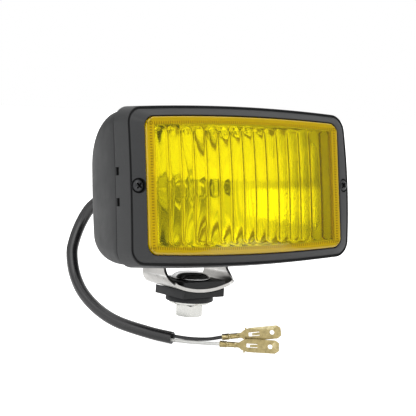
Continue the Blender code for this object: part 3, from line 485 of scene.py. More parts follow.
def surface(name, colour, roughness, metallic=0.0, mottle=0.12, patch=90, grain=2600, grain_height=0.01,
            stretch=(1, 1, 1), rub=None, rub_share=0.5, dust=None, coat=0.0, specular=0.5, streaks=0.0, crease_shade=0.0):
    """A finish with blotches, fine grain or drawn lines, rubbed edges, uneven gloss and, if asked, painted shade in
    creases.
    """
    made = bpy.data.materials.new(name)
    made.use_nodes = True
    tree = made.node_tree
    shader = tree.nodes["Principled BSDF"]
    where = node(tree, "ShaderNodeTexCoord").outputs["Object"]
    blotch = value_noise(tree, where, patch, 5)
    fine = value_noise(tree, where, grain, 2, stretch)

    darker = tuple(c * (1 - mottle) for c in colour)
    lighter = tuple(min(1, c * (1 + mottle)) for c in colour)
    tint = blend_colour(tree, remap(tree, blotch, 0, 1), darker, lighter)
    speck = tuple(min(1, c * (1 + 1.6 * mottle)) for c in colour)
    tint = blend_colour(tree, remap(tree, fine, 0, 0.6, 0.45, 0.8), tint, speck)
    gloss = remap(tree, blotch, roughness * 0.88, roughness * 1.12)
    if rub is not None:
        worn = node(tree, "ShaderNodeMath", {0: convex_edges(tree), 1: remap(tree, blotch, 0.2, 1)},
                    operation="MULTIPLY").outputs[0]
        worn = node(tree, "ShaderNodeMath", {0: worn, 1: rub_share}, operation="MULTIPLY").outputs[0]
        tint = blend_colour(tree, worn, tint, rub)
        smoother = node(tree, "ShaderNodeMath", {0: worn, 1: -0.25 * roughness, 2: 0.0},
                        operation="MULTIPLY_ADD").outputs[0]
        gloss = node(tree, "ShaderNodeMath", {0: gloss, 1: smoother}, operation="ADD").outputs[0]
    if dust is not None:
        speckle = remap(tree, value_noise(tree, where, 700, 6), 0, 1, 0.62, 0.75)
        share = node(tree, "ShaderNodeMath", {0: speckle, 1: 0.5}, operation="MULTIPLY").outputs[0]
        tint = blend_colour(tree, share, tint, dust)
    if streaks:
        drawn = value_noise(tree, where, 400, 4, (0.06, 1, 1))
        uneven = remap(tree, drawn, -streaks, streaks)
        gloss = node(tree, "ShaderNodeMath", {0: gloss, 1: uneven}, operation="ADD").outputs[0]
    # Painted shade: where ambient occlusion finds creases, grooves and recesses, the colour is darkened and the
    # specular level lowered.
    if crease_shade:
        open_sky = node(tree, "ShaderNodeAmbientOcclusion", {"Distance": 4 * MM}, samples=6).outputs["AO"]
        shadow = remap(tree, open_sky, crease_shade, 0, 0.25, 0.85)
        tint = blend_colour(tree, shadow, tint, tuple(c * 0.1 for c in colour))
        level = node(tree, "ShaderNodeMath", {0: shadow, 1: -specular, 2: specular}, operation="MULTIPLY_ADD")
        tree.links.new(level.outputs[0], shader.inputs["Specular IOR Level"])
    else:
        shader.inputs["Specular IOR Level"].default_value = specular
    bump = node(tree, "ShaderNodeBump", {"Height": fine, "Distance": grain_height * MM, "Strength": 1.0})
    tree.links.new(tint, shader.inputs["Base Color"])
    tree.links.new(gloss, shader.inputs["Roughness"])
    tree.links.new(bump.outputs[0], shader.inputs["Normal"])
    shader.inputs["Metallic"].default_value = metallic
    shader.inputs["Coat Weight"].default_value = coat
    shader.inputs["Coat Roughness"].default_value = 0.15
    return made


def tick_marks(tree, parts, across, crown):
    """1 on the small bars round the lens's border, 0 elsewhere."""
    marks = []
    bands = (
        (across, LENS_HALF[0] - 2.6, parts.outputs[2]),
        (crown, LENS_HALF[1] + WINDOW_BULGE - 2.8, parts.outputs[0]),
    )
    for reach, middle, along in bands:
        off = node(tree, "ShaderNodeMath", {0: reach, 1: middle * MM}, operation="SUBTRACT").outputs[0]
        off = node(tree, "ShaderNodeMath", {0: off}, operation="ABSOLUTE").outputs[0]
        band = remap(tree, off, 1, 0, 0.5 * MM, 0.8 * MM)
        turn = 2 * math.pi / (TICK_PITCH * MM)
        wave = node(tree, "ShaderNodeMath", {0: along, 1: turn}, operation="MULTIPLY").outputs[0]
        wave = node(tree, "ShaderNodeMath", {0: wave}, operation="SINE").outputs[0]
        bar = remap(tree, wave, 0, 0.75, 0.0, 0.5)
        marks.append(node(tree, "ShaderNodeMath", {0: band, 1: bar}, operation="MULTIPLY").outputs[0])
    return node(tree, "ShaderNodeMath", {0: marks[0], 1: marks[1]}, operation="MAXIMUM").outputs[0]


def rib_edge_shade(tree, parts, reach):
    """1 along both edges of each rib, 0 elsewhere: where painted shade darkens the glass."""
    step = node(tree, "ShaderNodeMath", {0: parts.outputs[0], 1: reach}, operation="ADD").outputs[0]
    step = node(tree, "ShaderNodeMath", {0: step, 1: 2 / (FLUTE_PITCH * MM)}, operation="MULTIPLY").outputs[0]
    step = node(tree, "ShaderNodeMath", {0: step, 1: 2.0}, operation="FLOORED_MODULO").outputs[0]
    step = node(tree, "ShaderNodeMath", {0: step, 1: 1.0}, operation="SUBTRACT").outputs[0]
    step = node(tree, "ShaderNodeMath", {0: step}, operation="ABSOLUTE").outputs[0]
    off = node(tree, "ShaderNodeMath", {0: step, 1: FLUTE_SHARE}, operation="SUBTRACT").outputs[0]
    off = node(tree, "ShaderNodeMath", {0: off}, operation="ABSOLUTE").outputs[0]
    return remap(tree, off, 1, 0, 0.02, 0.07)


def lens_glass():
    """Selective-yellow glass: deeper in its thick border, with faint waves."""
    made = bpy.data.materials.new("yellow_glass")
    made.use_nodes = True
    tree = made.node_tree
    shader = tree.nodes["Principled BSDF"]
    where = node(tree, "ShaderNodeTexCoord").outputs["Object"]
    parts = node(tree, "ShaderNodeSeparateXYZ", {"Vector": where})
    across = node(tree, "ShaderNodeMath", {0: parts.outputs[0]}, operation="ABSOLUTE").outputs[0]
    upward = node(tree, "ShaderNodeMath", {0: parts.outputs[2]}, operation="ABSOLUTE").outputs[0]
    reach = FLUTES * FLUTE_PITCH / 2 * MM
    side = remap(tree, across, 0, 1, reach + 0.2 * MM, reach + 1.0 * MM)
    crown = node(tree, "ShaderNodeMath", {0: across, 1: across}, operation="MULTIPLY").outputs[0]
    crown = node(tree, "ShaderNodeMath", {0: crown, 1: WINDOW_BULGE / LENS_HALF[0] ** 2 / MM, 2: upward},
                 operation="MULTIPLY_ADD").outputs[0]
    top = remap(tree, crown, 0, 1, (FLUTE_HALF_HEIGHT + 1.0) * MM, (FLUTE_HALF_HEIGHT + 2.4) * MM)
    border = node(tree, "ShaderNodeMath", {0: side, 1: top}, operation="MAXIMUM").outputs[0]
    cloud = value_noise(tree, where, 120, 4)
    body = blend_colour(tree, remap(tree, cloud, 0, 1), (0.985, 0.90, 0.002), (0.995, 0.93, 0.004))
    # Painted shade: darker amber lines along the rib edges.
    body = blend_colour(tree, rib_edge_shade(tree, parts, reach), body, (0.80, 0.60, 0.001))
    tint = blend_colour(tree, border, body, (0.86, 0.60, 0.002))
    tint = blend_colour(tree, tick_marks(tree, parts, across, crown), tint, (0.26, 0.16, 0.001))
    gloss = remap(tree, value_noise(tree, where, 900, 3), 0.015, 0.05)
    wave = value_noise(tree, where, 260, 3)
    bump = node(tree, "ShaderNodeBump", {"Height": wave, "Distance": 0.03 * MM, "Strength": 1.0})
    tree.links.new(tint, shader.inputs["Base Color"])
    tree.links.new(gloss, shader.inputs["Roughness"])
    tree.links.new(bump.outputs[0], shader.inputs["Normal"])
    tree.links.new(remap(tree, border, 0.93, 0.45, 0, 1), shader.inputs["Transmission Weight"])
    shader.inputs["IOR"].default_value = 1.5
    return made


def clear_glass():
    made = bpy.data.materials.new("clear_glass")
    made.use_nodes = True
    tree = made.node_tree
    shader = tree.nodes["Principled BSDF"]
    where = node(tree, "ShaderNodeTexCoord").outputs["Object"]
    haze = value_noise(tree, where, 500, 3)
    tree.links.new(remap(tree, haze, 0.01, 0.06), shader.inputs["Roughness"])
    tint = blend_colour(tree, remap(tree, haze, 0, 1), (0.95, 0.97, 0.96), (0.99, 0.99, 0.98))
    tree.links.new(tint, shader.inputs["Base Color"])
    shader.inputs["Transmission Weight"].default_value = 1.0
    shader.inputs["IOR"].default_value = 1.46
    return made


def mirror_coating():
    """Evaporated aluminium: bright, slightly uneven, with faint ripples of the pressed steel under it."""
    made = surface("reflector_coating", (0.97, 0.97, 0.96), 0.09, 1.0, mottle=0.02, patch=60, grain=160,
                   grain_height=0.04)
    return made


LOOKS = {
    "plastic": surface("black_plastic", (0.033, 0.034, 0.035), 0.52, mottle=0.10, grain=2400, grain_height=0.035,
                       rub=(0.09, 0.09, 0.09), rub_share=0.3, dust=(0.050, 0.050, 0.048), specular=0.36,
                       crease_shade=0.6),
    # A darker copy of the black plastic: painted shade for the housing, whose sides face away from the lights.
    "bowl": surface("shaded_bowl_plastic", (0.024, 0.025, 0.026), 0.54, mottle=0.10, grain=2400, grain_height=0.035,
                    rub=(0.08, 0.08, 0.08), rub_share=0.3, dust=(0.036, 0.037, 0.036), specular=0.32,
                    crease_shade=0.6),
    # Near-black plastic as painted shade, for the shoulder behind the bezel and the slot pockets, which lie in shadow.
    "recess": surface("painted_shade_plastic", (0.003, 0.003, 0.003), 0.8, mottle=0.2, grain=2400, grain_height=0.02,
                      specular=0.05),
    "block": surface("block_plastic", (0.022, 0.023, 0.024), 0.6, mottle=0.12, grain=1800, grain_height=0.03,
                     rub=(0.09, 0.09, 0.09), rub_share=0.3, specular=0.4, crease_shade=0.8),
    "glass": lens_glass(),
    "clear": clear_glass(),
    "mirror": mirror_coating(),
    "plate": surface("reflector_plate", (0.90, 0.90, 0.87), 0.55, 0.3, mottle=0.04, patch=60, grain=900,
                     grain_height=0.02),
    "gasket": surface("gasket_rubber", (0.75, 0.73, 0.66), 0.7, mottle=0.08, grain=1500, grain_height=0.03),
    "rubber": surface("rubber", (0.022, 0.022, 0.023), 0.75, mottle=0.2, grain=1500, grain_height=0.03),
    "screw": surface("black_screw", (0.030, 0.031, 0.033), 0.36, 0.4, mottle=0.15, grain=1500,
                     grain_height=0.006, rub=(0.22, 0.22, 0.22), rub_share=0.4, crease_shade=0.9),
    "chrome": surface("chrome_plating", (0.66, 0.66, 0.66), 0.06, 1.0, mottle=0.03, grain=300,
                      grain_height=0.004),
    "steel": surface("bracket_steel", (0.51, 0.50, 0.48), 0.32, 1.0, mottle=0.05, patch=150, grain=1200,
                     grain_height=0.004, stretch=(0.08, 1, 1), rub=(0.97, 0.97, 0.96), rub_share=1.0,
                     streaks=0.05),
    "spring": surface("spring_steel", (0.55, 0.55, 0.53), 0.3, 1.0, mottle=0.08, grain=2000, grain_height=0.004),
    "zinc": surface("bright_zinc", (0.63, 0.63, 0.60), 0.24, 1.0, mottle=0.06, patch=400, grain=1500,
                    grain_height=0.005, rub=(0.93, 0.93, 0.92), rub_share=0.6),
    "brass": surface("brass", (0.33, 0.265, 0.12), 0.34, 1.0, mottle=0.28, patch=700, grain=3200,
                     grain_height=0.014, rub=(0.80, 0.72, 0.45), rub_share=0.8),
    "tungsten": surface("tungsten", (0.25, 0.24, 0.23), 0.4, 1.0, mottle=0.1, grain=4000, grain_height=0.002),
    "jacket": surface("cable_sheath", (0.010, 0.010, 0.011), 0.24, mottle=0.15, grain=900, grain_height=0.008,
                      coat=0.3),
    "core_black": surface("black_insulation", (0.018, 0.018, 0.019), 0.35, mottle=0.15, grain=1200,
                          grain_height=0.008),
    "core_white": surface("white_insulation", (0.80, 0.80, 0.77), 0.38, mottle=0.04, grain=1200,
                          grain_height=0.008),
}


# ---------------------------------------------------------------- lamp head

def bow_at(z, bow):
    """How far a side edge of this bow stands forward at height z."""
    return bow * max(0, 1 - (z / FRONT_HALF[1]) ** 2)


def bow_forward(ring, bow):
    """Bends a ring forward between its top and bottom edges, most at mid height."""
    return [(x, y - bow_at(z, bow), z) for x, y, z in ring]


def band_section(by, depth):
    """A section of the bezel's flared band: half sizes, corner, depth, bulges and bow."""
    share = max(0, depth) / FRAME_DEPTH
    wide, high = [a + (b - a) * share - by for a, b in zip(FRONT_HALF, PARTING_HALF)]
    bow = FRONT_BOW + (PARTING_BOW - FRONT_BOW) * share
    return wide, high, CORNER - by, depth, TOP_BULGE, SIDE_BULGE, bow


def window_section(by, depth, bow=WINDOW_BOW):
    wide, high = inset(WINDOW_HALF, by)
    return wide, high, WINDOW_CORNER - by, depth, WINDOW_BULGE, 0.1, bow


def bezel():
    """The black frame: flared band, groove, a face rising to the window, and a lip over the glass."""
    inner_front = (*band_section(FRAME_WALL, LIP_BACK)[:6], 0)
    corners = (
        (band_section(0, FRAME_DEPTH), 0.4),
        (band_section(0, 0.1), 0.35),
        (band_section(0.4, 0.1), 0.1),
        (band_section(0.55, GROOVE_FLOOR), 0.12),
        (band_section(1.15, GROOVE_FLOOR), 0.12),
        (band_section(1.4, -0.15), 0.25),
        (window_section(-0.35, -FACE_RISE), 0.3),
        (window_section(0, 0.35 - FACE_RISE), 0.1),
        (window_section(0, LIP_BACK, 0), 0),
        (inner_front, 0),
        (band_section(FRAME_WALL, FRAME_DEPTH), 0.15),
    )
    sections = softened([c[0] for c in corners], [c[1] for c in corners], axes=(0, 3))
    rings = [bow_forward(pillow(s[:2], *s[2:6]), s[6]) for s in sections]
    made = raw("bezel", loft(rings, ring_shaped=True))
    for side, _ in SIDES:
        at_screw = along_y(side * SCREW_X)
        cut(made, raw("seat", rod(SCREW_SEAT, -8, SCREW_FLOOR), at_screw),
            raw("hole", rod(1.8, -4, 3, 32), at_screw))
        for rise in (-1, 1):
            x = (side * (PARTING_HALF[0] - FRAME_WALL - 1), side * (PARTING_HALF[0] + 2))
            middle = rise * SLOT_OFFSET
            low = (min(x), FRAME_DEPTH - PARTING_BOW - SLOT_LENGTH, middle - SLOT_HEIGHT / 2)
            high = (max(x), FRAME_DEPTH + 1, middle + SLOT_HEIGHT / 2)
            cut(made, raw("slot", box(low, high)))
    return settle(made, LAMP, "lamp", LOOKS["plastic"], ["front_frame"], angle=28)


def bowl_section(depth, inward):
    """One ring of the bowl's outside at a depth, moved inward and forward by a wall."""
    taper = depth - FRAME_DEPTH
    bend = max(0, depth - BOWL_BEND_START) / (BOWL_BEND_END - BOWL_BEND_START)
    drop = 1 - math.sqrt(max(0, 1 - bend * bend))
    wide = HOUSING_HALF[0] - SIDE_TAPER * taper - BOWL_BEND[0] * drop - inward
    high = HOUSING_HALF[1] - TOP_TAPER * taper - BOWL_BEND[1] * drop - inward
    corner = HOUSING_CORNER + 0.04 * taper - inward
    ring = pillow((wide, high), corner, depth - inward, 1.8)
    return [(x, y, z - BOWL_SAG * drop) for x, y, z in ring]


def hump_section(shrink, corner, depth, inward):
    half = inset(HUMP_HALF, shrink + inward)
    ring = pillow(half, corner - inward, depth - inward, 0.5)
    return [(x, y, z - HUMP_SAG) for x, y, z in ring]


def bowl_rings(depths, inward=0.0):
    rings = [bowl_section(depth, inward) for depth in depths]
    hump = ((-1.4, 17.5, 49.7), (-0.7, 17.2, 50.3), (-0.2, 16.9, 52), (0, 16.8, 55), (0.3, 16.6, 55.9),
            (0.9, 16.2, 56.6), (1.7, 15.6, 56.9), (2.4, 15, HUMP_END))
    rings += [hump_section(shrink, corner, depth, inward) for shrink, corner, depth in hump]
    return rings


def leg_hollow(side, wall):
    """The space a bracket leg sweeps as the head tilts, grown by a wall."""
    radius = HOLLOW_RADIUS + wall
    front = -(TILT_DOWN - REST_TILT)
    back = TILT_UP + REST_TILT
    reach = 24
    outline = []
    for k in range(31):
        angle = back + (math.pi + front - back) * k / 30
        outline.append((radius * math.cos(angle), radius * math.sin(angle)))
    for turn, (y, z) in ((front, outline[-1]), (back, outline[0])):
        outline.append((y + reach * math.sin(turn), z - reach * math.cos(turn)))
    inner, outer = LUG_HALF - wall, HOLLOW_END + wall
    low, high = (inner, outer) if side > 0 else (-outer, -inner)
    return loft([[(x, PIVOT_DEPTH + y, z - PIVOT_DROP) for y, z in outline] for x in (low, high)])


def bowl():
    """The rear housing, with the hollows for the bracket's legs and the knuckle between them."""
    tongue = (66, 32.9), (66.3, 34.3)
    front = FRAME_DEPTH + GAP
    rings = [pillow(tongue[0], 7, 1.4, 2), bow_forward(pillow(tongue[1], 7, front, 2), PARTING_BOW)]
    edge = []
    shoulder = (0.25, 1.4), (0.9, 1.3), (1.6, 1.1), (2.1, 0.95), (SHOULDER, 0.7), (2.8, 0.3), (3.1, 0.1), (3.5, 0)
    for back, shrink in shoulder:
        ring = bowl_section(front + back, 0)
        ring = [(x * (1 - shrink / 67), y, z * (1 - shrink / 35)) for x, y, z in ring]
        edge.append(bow_forward(ring, SHOULDER_BOW))
    depths = [17, 21, 24, 27, 30, 33, 35, 37, 39, 41, 42.5, 44, 45.3, 46.4, 47.4, 48.1, 48.6]
    made = raw("bowl", loft(rings + edge + bowl_rings(depths)))
    cavity_rings = [
        pillow(SEAT_HALF, 6, -5, 1.3), pillow(SEAT_HALF, 6, SEAT_DEPTH, 1.3),
        pillow((62.4, 30.4), 5, SEAT_DEPTH, 1.3), pillow((62.4, 30.4), 5, SEAT_DEPTH + 1.8, 1.3),
        pillow((64.8, 33.3), 7, SEAT_DEPTH + 4, 1.3),
    ]
    cavity = raw("cavity", loft(cavity_rings + bowl_rings((24, 31, 37, 42, 45.5, 48.3), HOUSING_WALL)))
    at_pivot = along_x(0, PIVOT_DEPTH, -PIVOT_DROP)
    for side, _ in SIDES:
        cut(cavity, raw("post", rod(SCREW_POST, -10, 16), along_y(side * SCREW_X)),
            raw("wall", leg_hollow(side, HOLLOW_WALL)))
    cut(cavity, raw("knuckle_inside", rod(LUG_RADIUS + 0.4, -LUG_HALF - 1, LUG_HALF + 1), at_pivot))
    cut(made, cavity)
    join(made, raw("knuckle", rod(LUG_RADIUS, -LUG_HALF - 1, LUG_HALF + 1, 64), at_pivot))
    for side, _ in SIDES:
        cut(made, raw("hollow", leg_hollow(side, 0)), raw("pilot", rod(1.5, 0, 14, 24), along_y(side * SCREW_X)))
        for rise in (-1, 1):
            x = sorted((side * (SEAT_HALF[0] + 0.4), side * (PARTING_HALF[0] + 2)))
            middle = rise * SLOT_OFFSET
            low = (x[0], FRAME_DEPTH - PARTING_BOW - SLOT_LENGTH, middle - SLOT_HEIGHT / 2)
            cut(made, raw("slot", box(low, (x[1], FRAME_DEPTH - PARTING_BOW + 0.7, middle + SLOT_HEIGHT / 2))))
    x, z = CABLE_EXIT
    cut(made, raw("bore", rod(PIVOT_BORE, -30, 30), at_pivot),
        raw("cable_hole", rod(4.2, -8, 8), along_y(x, HUMP_END, z)))
    settle(made, LAMP, "lamp", LOOKS["bowl"], ["rear_housing"], angle=28)
    # Painted shade: the near-black plastic goes on the shoulder behind the bezel's back edge and in the slot pockets,
    # so the parting line and slots read dark.
    made.data.materials.append(LOOKS["recess"])
    paint_where(made, lambda p: p.y + bow_at(p.z, SHOULDER_BOW) < front + SHOULDER)


def bezel_screw(side, word):
    """A pan-head screw with a cross recess, sunk in its round seat."""
    head = 2.85
    corners = [(0, -1.95), (1.5, -1.85), (head, -1.1), (head, -GAP), (1.2, -GAP), (1.2, 11), (0, 12.5)]
    profile = softened(corners, (0, 0.5, 0.6, 0.15, 0.1, 0.4, 0), closed=False)
    made = raw(f"bezel_screw_{word}", turned(profile, 48), along_y())
    for turn in (0.75, 0.75 + math.pi / 2):
        arm = loft([[(x * reach, y * width, z) for x, y in ((-1, -1), (1, -1), (1, 1), (-1, 1))]
                    for reach, width, z in ((2.1, 0.62, -2.6), (1.3, 0.35, -0.6))])
        cut(made, raw("recess", arm, along_y() @ Matrix.Rotation(turn, 4, "Z")))
    place = LAMP @ Matrix.Translation((side * SCREW_X * MM, SCREW_FLOOR * MM, 0))
    return settle(made, place, "lamp", LOOKS["screw"], [f"frame_screw_{word}"], edge=0.06)


# ---------------------------------------------------------------- lens and reflector

def lens_height(x):
    """Half the lens's height at this x: rounded corners and bowed edges."""
    over = max(0, abs(x) - (LENS_HALF[0] - LENS_CORNER))
    high = LENS_HALF[1] - LENS_CORNER + math.sqrt(max(0, LENS_CORNER ** 2 - over ** 2))
    return high + (WINDOW_BULGE - 0.1) * (1 - (x / LENS_HALF[0]) ** 2)


def crown(x, z):
    u, v = x / LENS_HALF[0], z / LENS_HALF[1]
    return LENS_CROWN * (1 - u * u) * (1 - v * v)


def rib_relief(x, z):
    """How far the round ribs stand proud of the lens's back, between flat lands. Their ends are arched."""
    reach = FLUTES * FLUTE_PITCH / 2
    if abs(x) >= reach:
        return 0.0
    across = 2 * ((x + reach) / FLUTE_PITCH % 1) - 1
    arch = FLUTE_HALF_HEIGHT - FLUTE_ARCH * across * across
    fall = min(1, max(0, (arch - abs(z)) / 1.2))
    return math.sin(fall * math.pi / 2) * FLUTE_RELIEF * max(0, 1 - (across / FLUTE_SHARE) ** 2)


def tick_relief(x, z):
    """Small bars that stand all round the border between the ribs and the rim."""
    from_side = LENS_HALF[0] - abs(x)
    from_top = lens_height(x) - abs(z)
    edge = min(from_side, from_top)
    if not 2.1 < edge < 3.1:
        return 0.0
    along = x if from_top < from_side else z
    return 0.4 if (along / TICK_PITCH) % 1 < 0.45 else 0.0


def spread(low, high, pitch):
    """Evenly spaced numbers from low to high, about this far apart."""
    count = max(1, round((high - low) / pitch))
    return [low + (high - low) * k / count for k in range(count + 1)]


def ribbed_lens():
    """Crowned glass, ribbed behind, with a flange that the bezel holds."""
    reach = FLUTES * FLUTE_PITCH / 2
    shrink = 1 - LENS_NECK / LENS_HALF[0], 1 - LENS_NECK / LENS_HALF[1]
    inner = LENS_HALF[0] * shrink[0]
    margin = [inner - d for d in (0, 0.25, 0.35, 0.8, 1.25, 1.35, 2.0, 2.7)]
    ribs = spread(-reach, reach, FLUTE_PITCH / 16)
    columns = [-x for x in margin] + ribs + margin[::-1]
    shares = spread(-0.90, 0.90, 0.0214)
    ends = [0.912, 0.92, 0.928, 0.937, 0.946, 0.953, 0.957, 0.97, 0.985, 0.991, 0.995, 1.0]
    rows = [-share for share in ends[::-1]] + shares + ends
    front, back = [], []
    for x in columns:
        for share in rows:
            z = share * lens_height(x / shrink[0]) * shrink[1]
            back.append((x, LENS_BACK - crown(x, z) + rib_relief(x, z) + tick_relief(x, z), z))
            wide, tall = x / shrink[0], z / shrink[1]
            edge = min(LENS_HALF[0] - abs(wide), lens_height(wide) - abs(tall))
            rim = max(0, 1 - edge / 0.6)
            front.append((wide, LENS_FRONT - crown(wide, tall) + 0.35 * rim * rim, tall))
    count, high_count = len(columns), len(rows)
    shift = len(front)
    points = front + back
    faces = []
    for i in range(count - 1):
        for k in range(high_count - 1):
            a, b = i * high_count + k, (i + 1) * high_count + k
            faces.append((a, b, b + 1, a + 1))
            faces.append((shift + a, shift + a + 1, shift + b + 1, shift + b))
    border = [i * high_count for i in range(count)]
    border += [(count - 1) * high_count + k for k in range(1, high_count)]
    border += [i * high_count + high_count - 1 for i in range(count - 2, -1, -1)]
    border += list(range(high_count - 2, 0, -1))
    loops = [border]
    for outward, depth in ((0, FLANGE_FRONT), (1, FLANGE_FRONT), (1, FLANGE_BACK), (-1, FLANGE_BACK)):
        loop = []
        for n in border:
            x, _, z = points[n]
            if outward < 0:
                x, z = x * shrink[0], z * shrink[1]
            elif outward:
                x, z = x * FLANGE_HALF[0] / LENS_HALF[0], z * (FLANGE_HALF[1] + 0.2) / LENS_HALF[1]
                if abs(z) < SCREW_POST + GAP and abs(x) > 60:
                    clear = SCREW_X - math.sqrt((SCREW_POST + GAP) ** 2 - z * z)
                    x = math.copysign(min(abs(x), clear), x)
            loop.append(len(points))
            points.append((x, depth, z))
        loops.append(loop)
    loops.append([shift + n for n in border])
    for first, second in zip(loops, loops[1:]):
        for n in range(len(first)):
            m = (n + 1) % len(first)
            faces.append((first[n], first[m], second[m], second[n]))
    made = raw("ribbed_lens", (points, faces))
    return settle(made, LAMP, "lamp", LOOKS["glass"], ["lens"], angle=30, upright=True)


def dish_section(radius, outward):
    """A ring of the paraboloid, moved outward square to its surface and clipped above and below."""
    slope = radius / (2 * FOCAL_LENGTH)
    length = math.sqrt(1 + slope * slope)
    reach = radius + outward * slope / length
    depth = REFLECTOR_VERTEX - radius * radius / (4 * FOCAL_LENGTH) + outward / length
    high = REFLECTOR_HALF_HEIGHT + outward
    ring = circle(reach, 128, math.pi / 128)
    return [(x, depth, max(-high, min(high, z))) for x, z in ring]


def mirror_dish():
    """The parabolic reflector: a clipped dish on a flat plate, a neck for the bulb, a post for the earth."""
    plate = loft([pillow(FLANGE_HALF, 5.5, depth, 1.2) for depth in (PLATE_FRONT, 6.3)])
    made = raw("mirror_dish", plate)
    radii = [54.2, 52, 50, 47, 44, 41, 38, 35, 32, 29, 26, 23, 20, 17, 14, 11, 9]
    post_place = along_y(EARTH_POST[0], 0, EARTH_POST[1])
    join(made, raw("outside", loft([dish_section(r, 1) for r in radii])))
    join(made, raw("neck", rod(12.5, 40.5, NECK_BACK, 48), along_y()), raw("post", rod(2.8, 38.5, NECK_BACK, 32), post_place))
    hollow = [54.8, *radii[1:], 7, 5]
    cut(made, raw("inside", loft([dish_section(r, 0) for r in hollow])))
    tools = [raw("hole", rod(BULB_HOLE, 35, 50), along_y()), raw("pilot", rod(1.5, 41, 50, 16), post_place)]
    for side, _ in SIDES:
        tools.append(raw("notch", rod(SCREW_POST + GAP, -5, 9, 32), along_y(side * SCREW_X)))
    cut(made, *tools)
    settle(made, LAMP, "lamp", LOOKS["mirror"], ["reflector"], angle=25)
    made.data.materials.append(LOOKS["plate"])
    paint_where(made, lambda p: p.y < PLATE_FRONT + 0.1)


def bulb():
    """The halogen bulb: clear capsule, coiled filament on its supports, metal cap."""
    radius = 4.6
    corners = [(0, 16), (0.9, 16), (1.6, 17.2), (radius, 20.6), (radius, 39.4), (0, 39.4)]
    profile = softened(corners, (0, 0.4, 1, 3, 0.2, 0), closed=False, steps=8)
    capsule = raw("bulb_capsule", turned(profile, 48), along_y())
    settle(capsule, LAMP, "lamp", LOOKS["clear"], ["bulb_glass"])
    coil = [(1.0 * math.cos(t), 25.5 + 0.5 * math.sin(t), t * 0.11 - 2.4) for t in np.linspace(0, 44, 300)]
    settle(raw("filament", wire(coil, 0.16, 8)), LAMP, "lamp", LOOKS["tungsten"])
    for rise, word in ((-1, "low"), (1, "high")):
        support = smooth([(0, 25.5, rise * 2.3), (0, 25.8, rise * 3.0), (0, 28.5, rise * 3.1), (0, 39, rise * 1.6)], 6)
        settle(raw(f"filament_support_{word}", wire(support, 0.22, 10)), LAMP, "lamp", LOOKS["tungsten"])
    corners = [(0, 40), (5.2, 40), (5.2, 45.6), (11, 45.6), (11, 46.6), (4.5, 46.6), (4.5, 49), (0, 49)]
    profile = softened(corners, (0, 0.3, 0.2, 0.25, 0.25, 0.2, 0.4, 0), closed=False)
    cap = raw("bulb_cap", turned(profile, 64), along_y())
    settle(cap, LAMP, "lamp", LOOKS["zinc"], ["bulb_base"])


# ---------------------------------------------------------------- cable

def cable_path():
    """The jacket's middle line from its free end, under the lamp, round the left side and into the back."""
    x, z = CABLE_EXIT
    free_end = [(-20.6, 33.3, -72.8), (-26.4, 44.5, -70.1), (-34.5, 58.9, -65.0), (-39.2, 69.1, -58.8)]
    side = [(-42.3, 77.8, -50.4), (-42.8, 84.2, -41.0), (-42.3, 87.1, -31.4), (-40.5, 87.9, -24.7)]
    turn_in = [(-36.6, 86.9, -15.2), (-32.9, 82.2, -6.8), (-29.0, 73.5, -1.8)]
    grommet = [(x, depth, z) for depth in (65, 60, 55, 51.5)]
    return smooth(free_end + side + turn_in + grommet, 8)


def sheath(path, frames):
    """The jacket, cut square at its ends and sunk a little between the two wires."""
    def oval(radius, squeeze):
        rings = []
        for point, (up, across) in zip(path, frames):
            ring = [point + up * x + across * y * squeeze for x, y in circle(radius, 32)]
            rings.append(ring)
        return rings
    outside = oval(JACKET_RADIUS, 0.97)
    inside = oval(2.05, 1.0)
    made = raw("cable_outer", loft(outside + inside[::-1], ring_shaped=True))
    settle(made, LAMP, "lamp", LOOKS["jacket"], ["cable_jacket"], edge=0.12, angle=50)


def core(name, path, frames, side, outer, inner, look, nodes):
    middle = [point + up * side * CORE_OFFSET for point, (up, _) in zip(path, frames)]
    points = smooth([Vector(p) for p in outer] + middle[:1], 8)[:-1] + middle
    points += smooth(middle[-1:] + [Vector(p) for p in inner], 8)[1:]
    made = raw(name, wire(points, CORE_RADIUS, 20))
    settle(made, LAMP, "lamp", look, nodes, edge=0.08, angle=50)


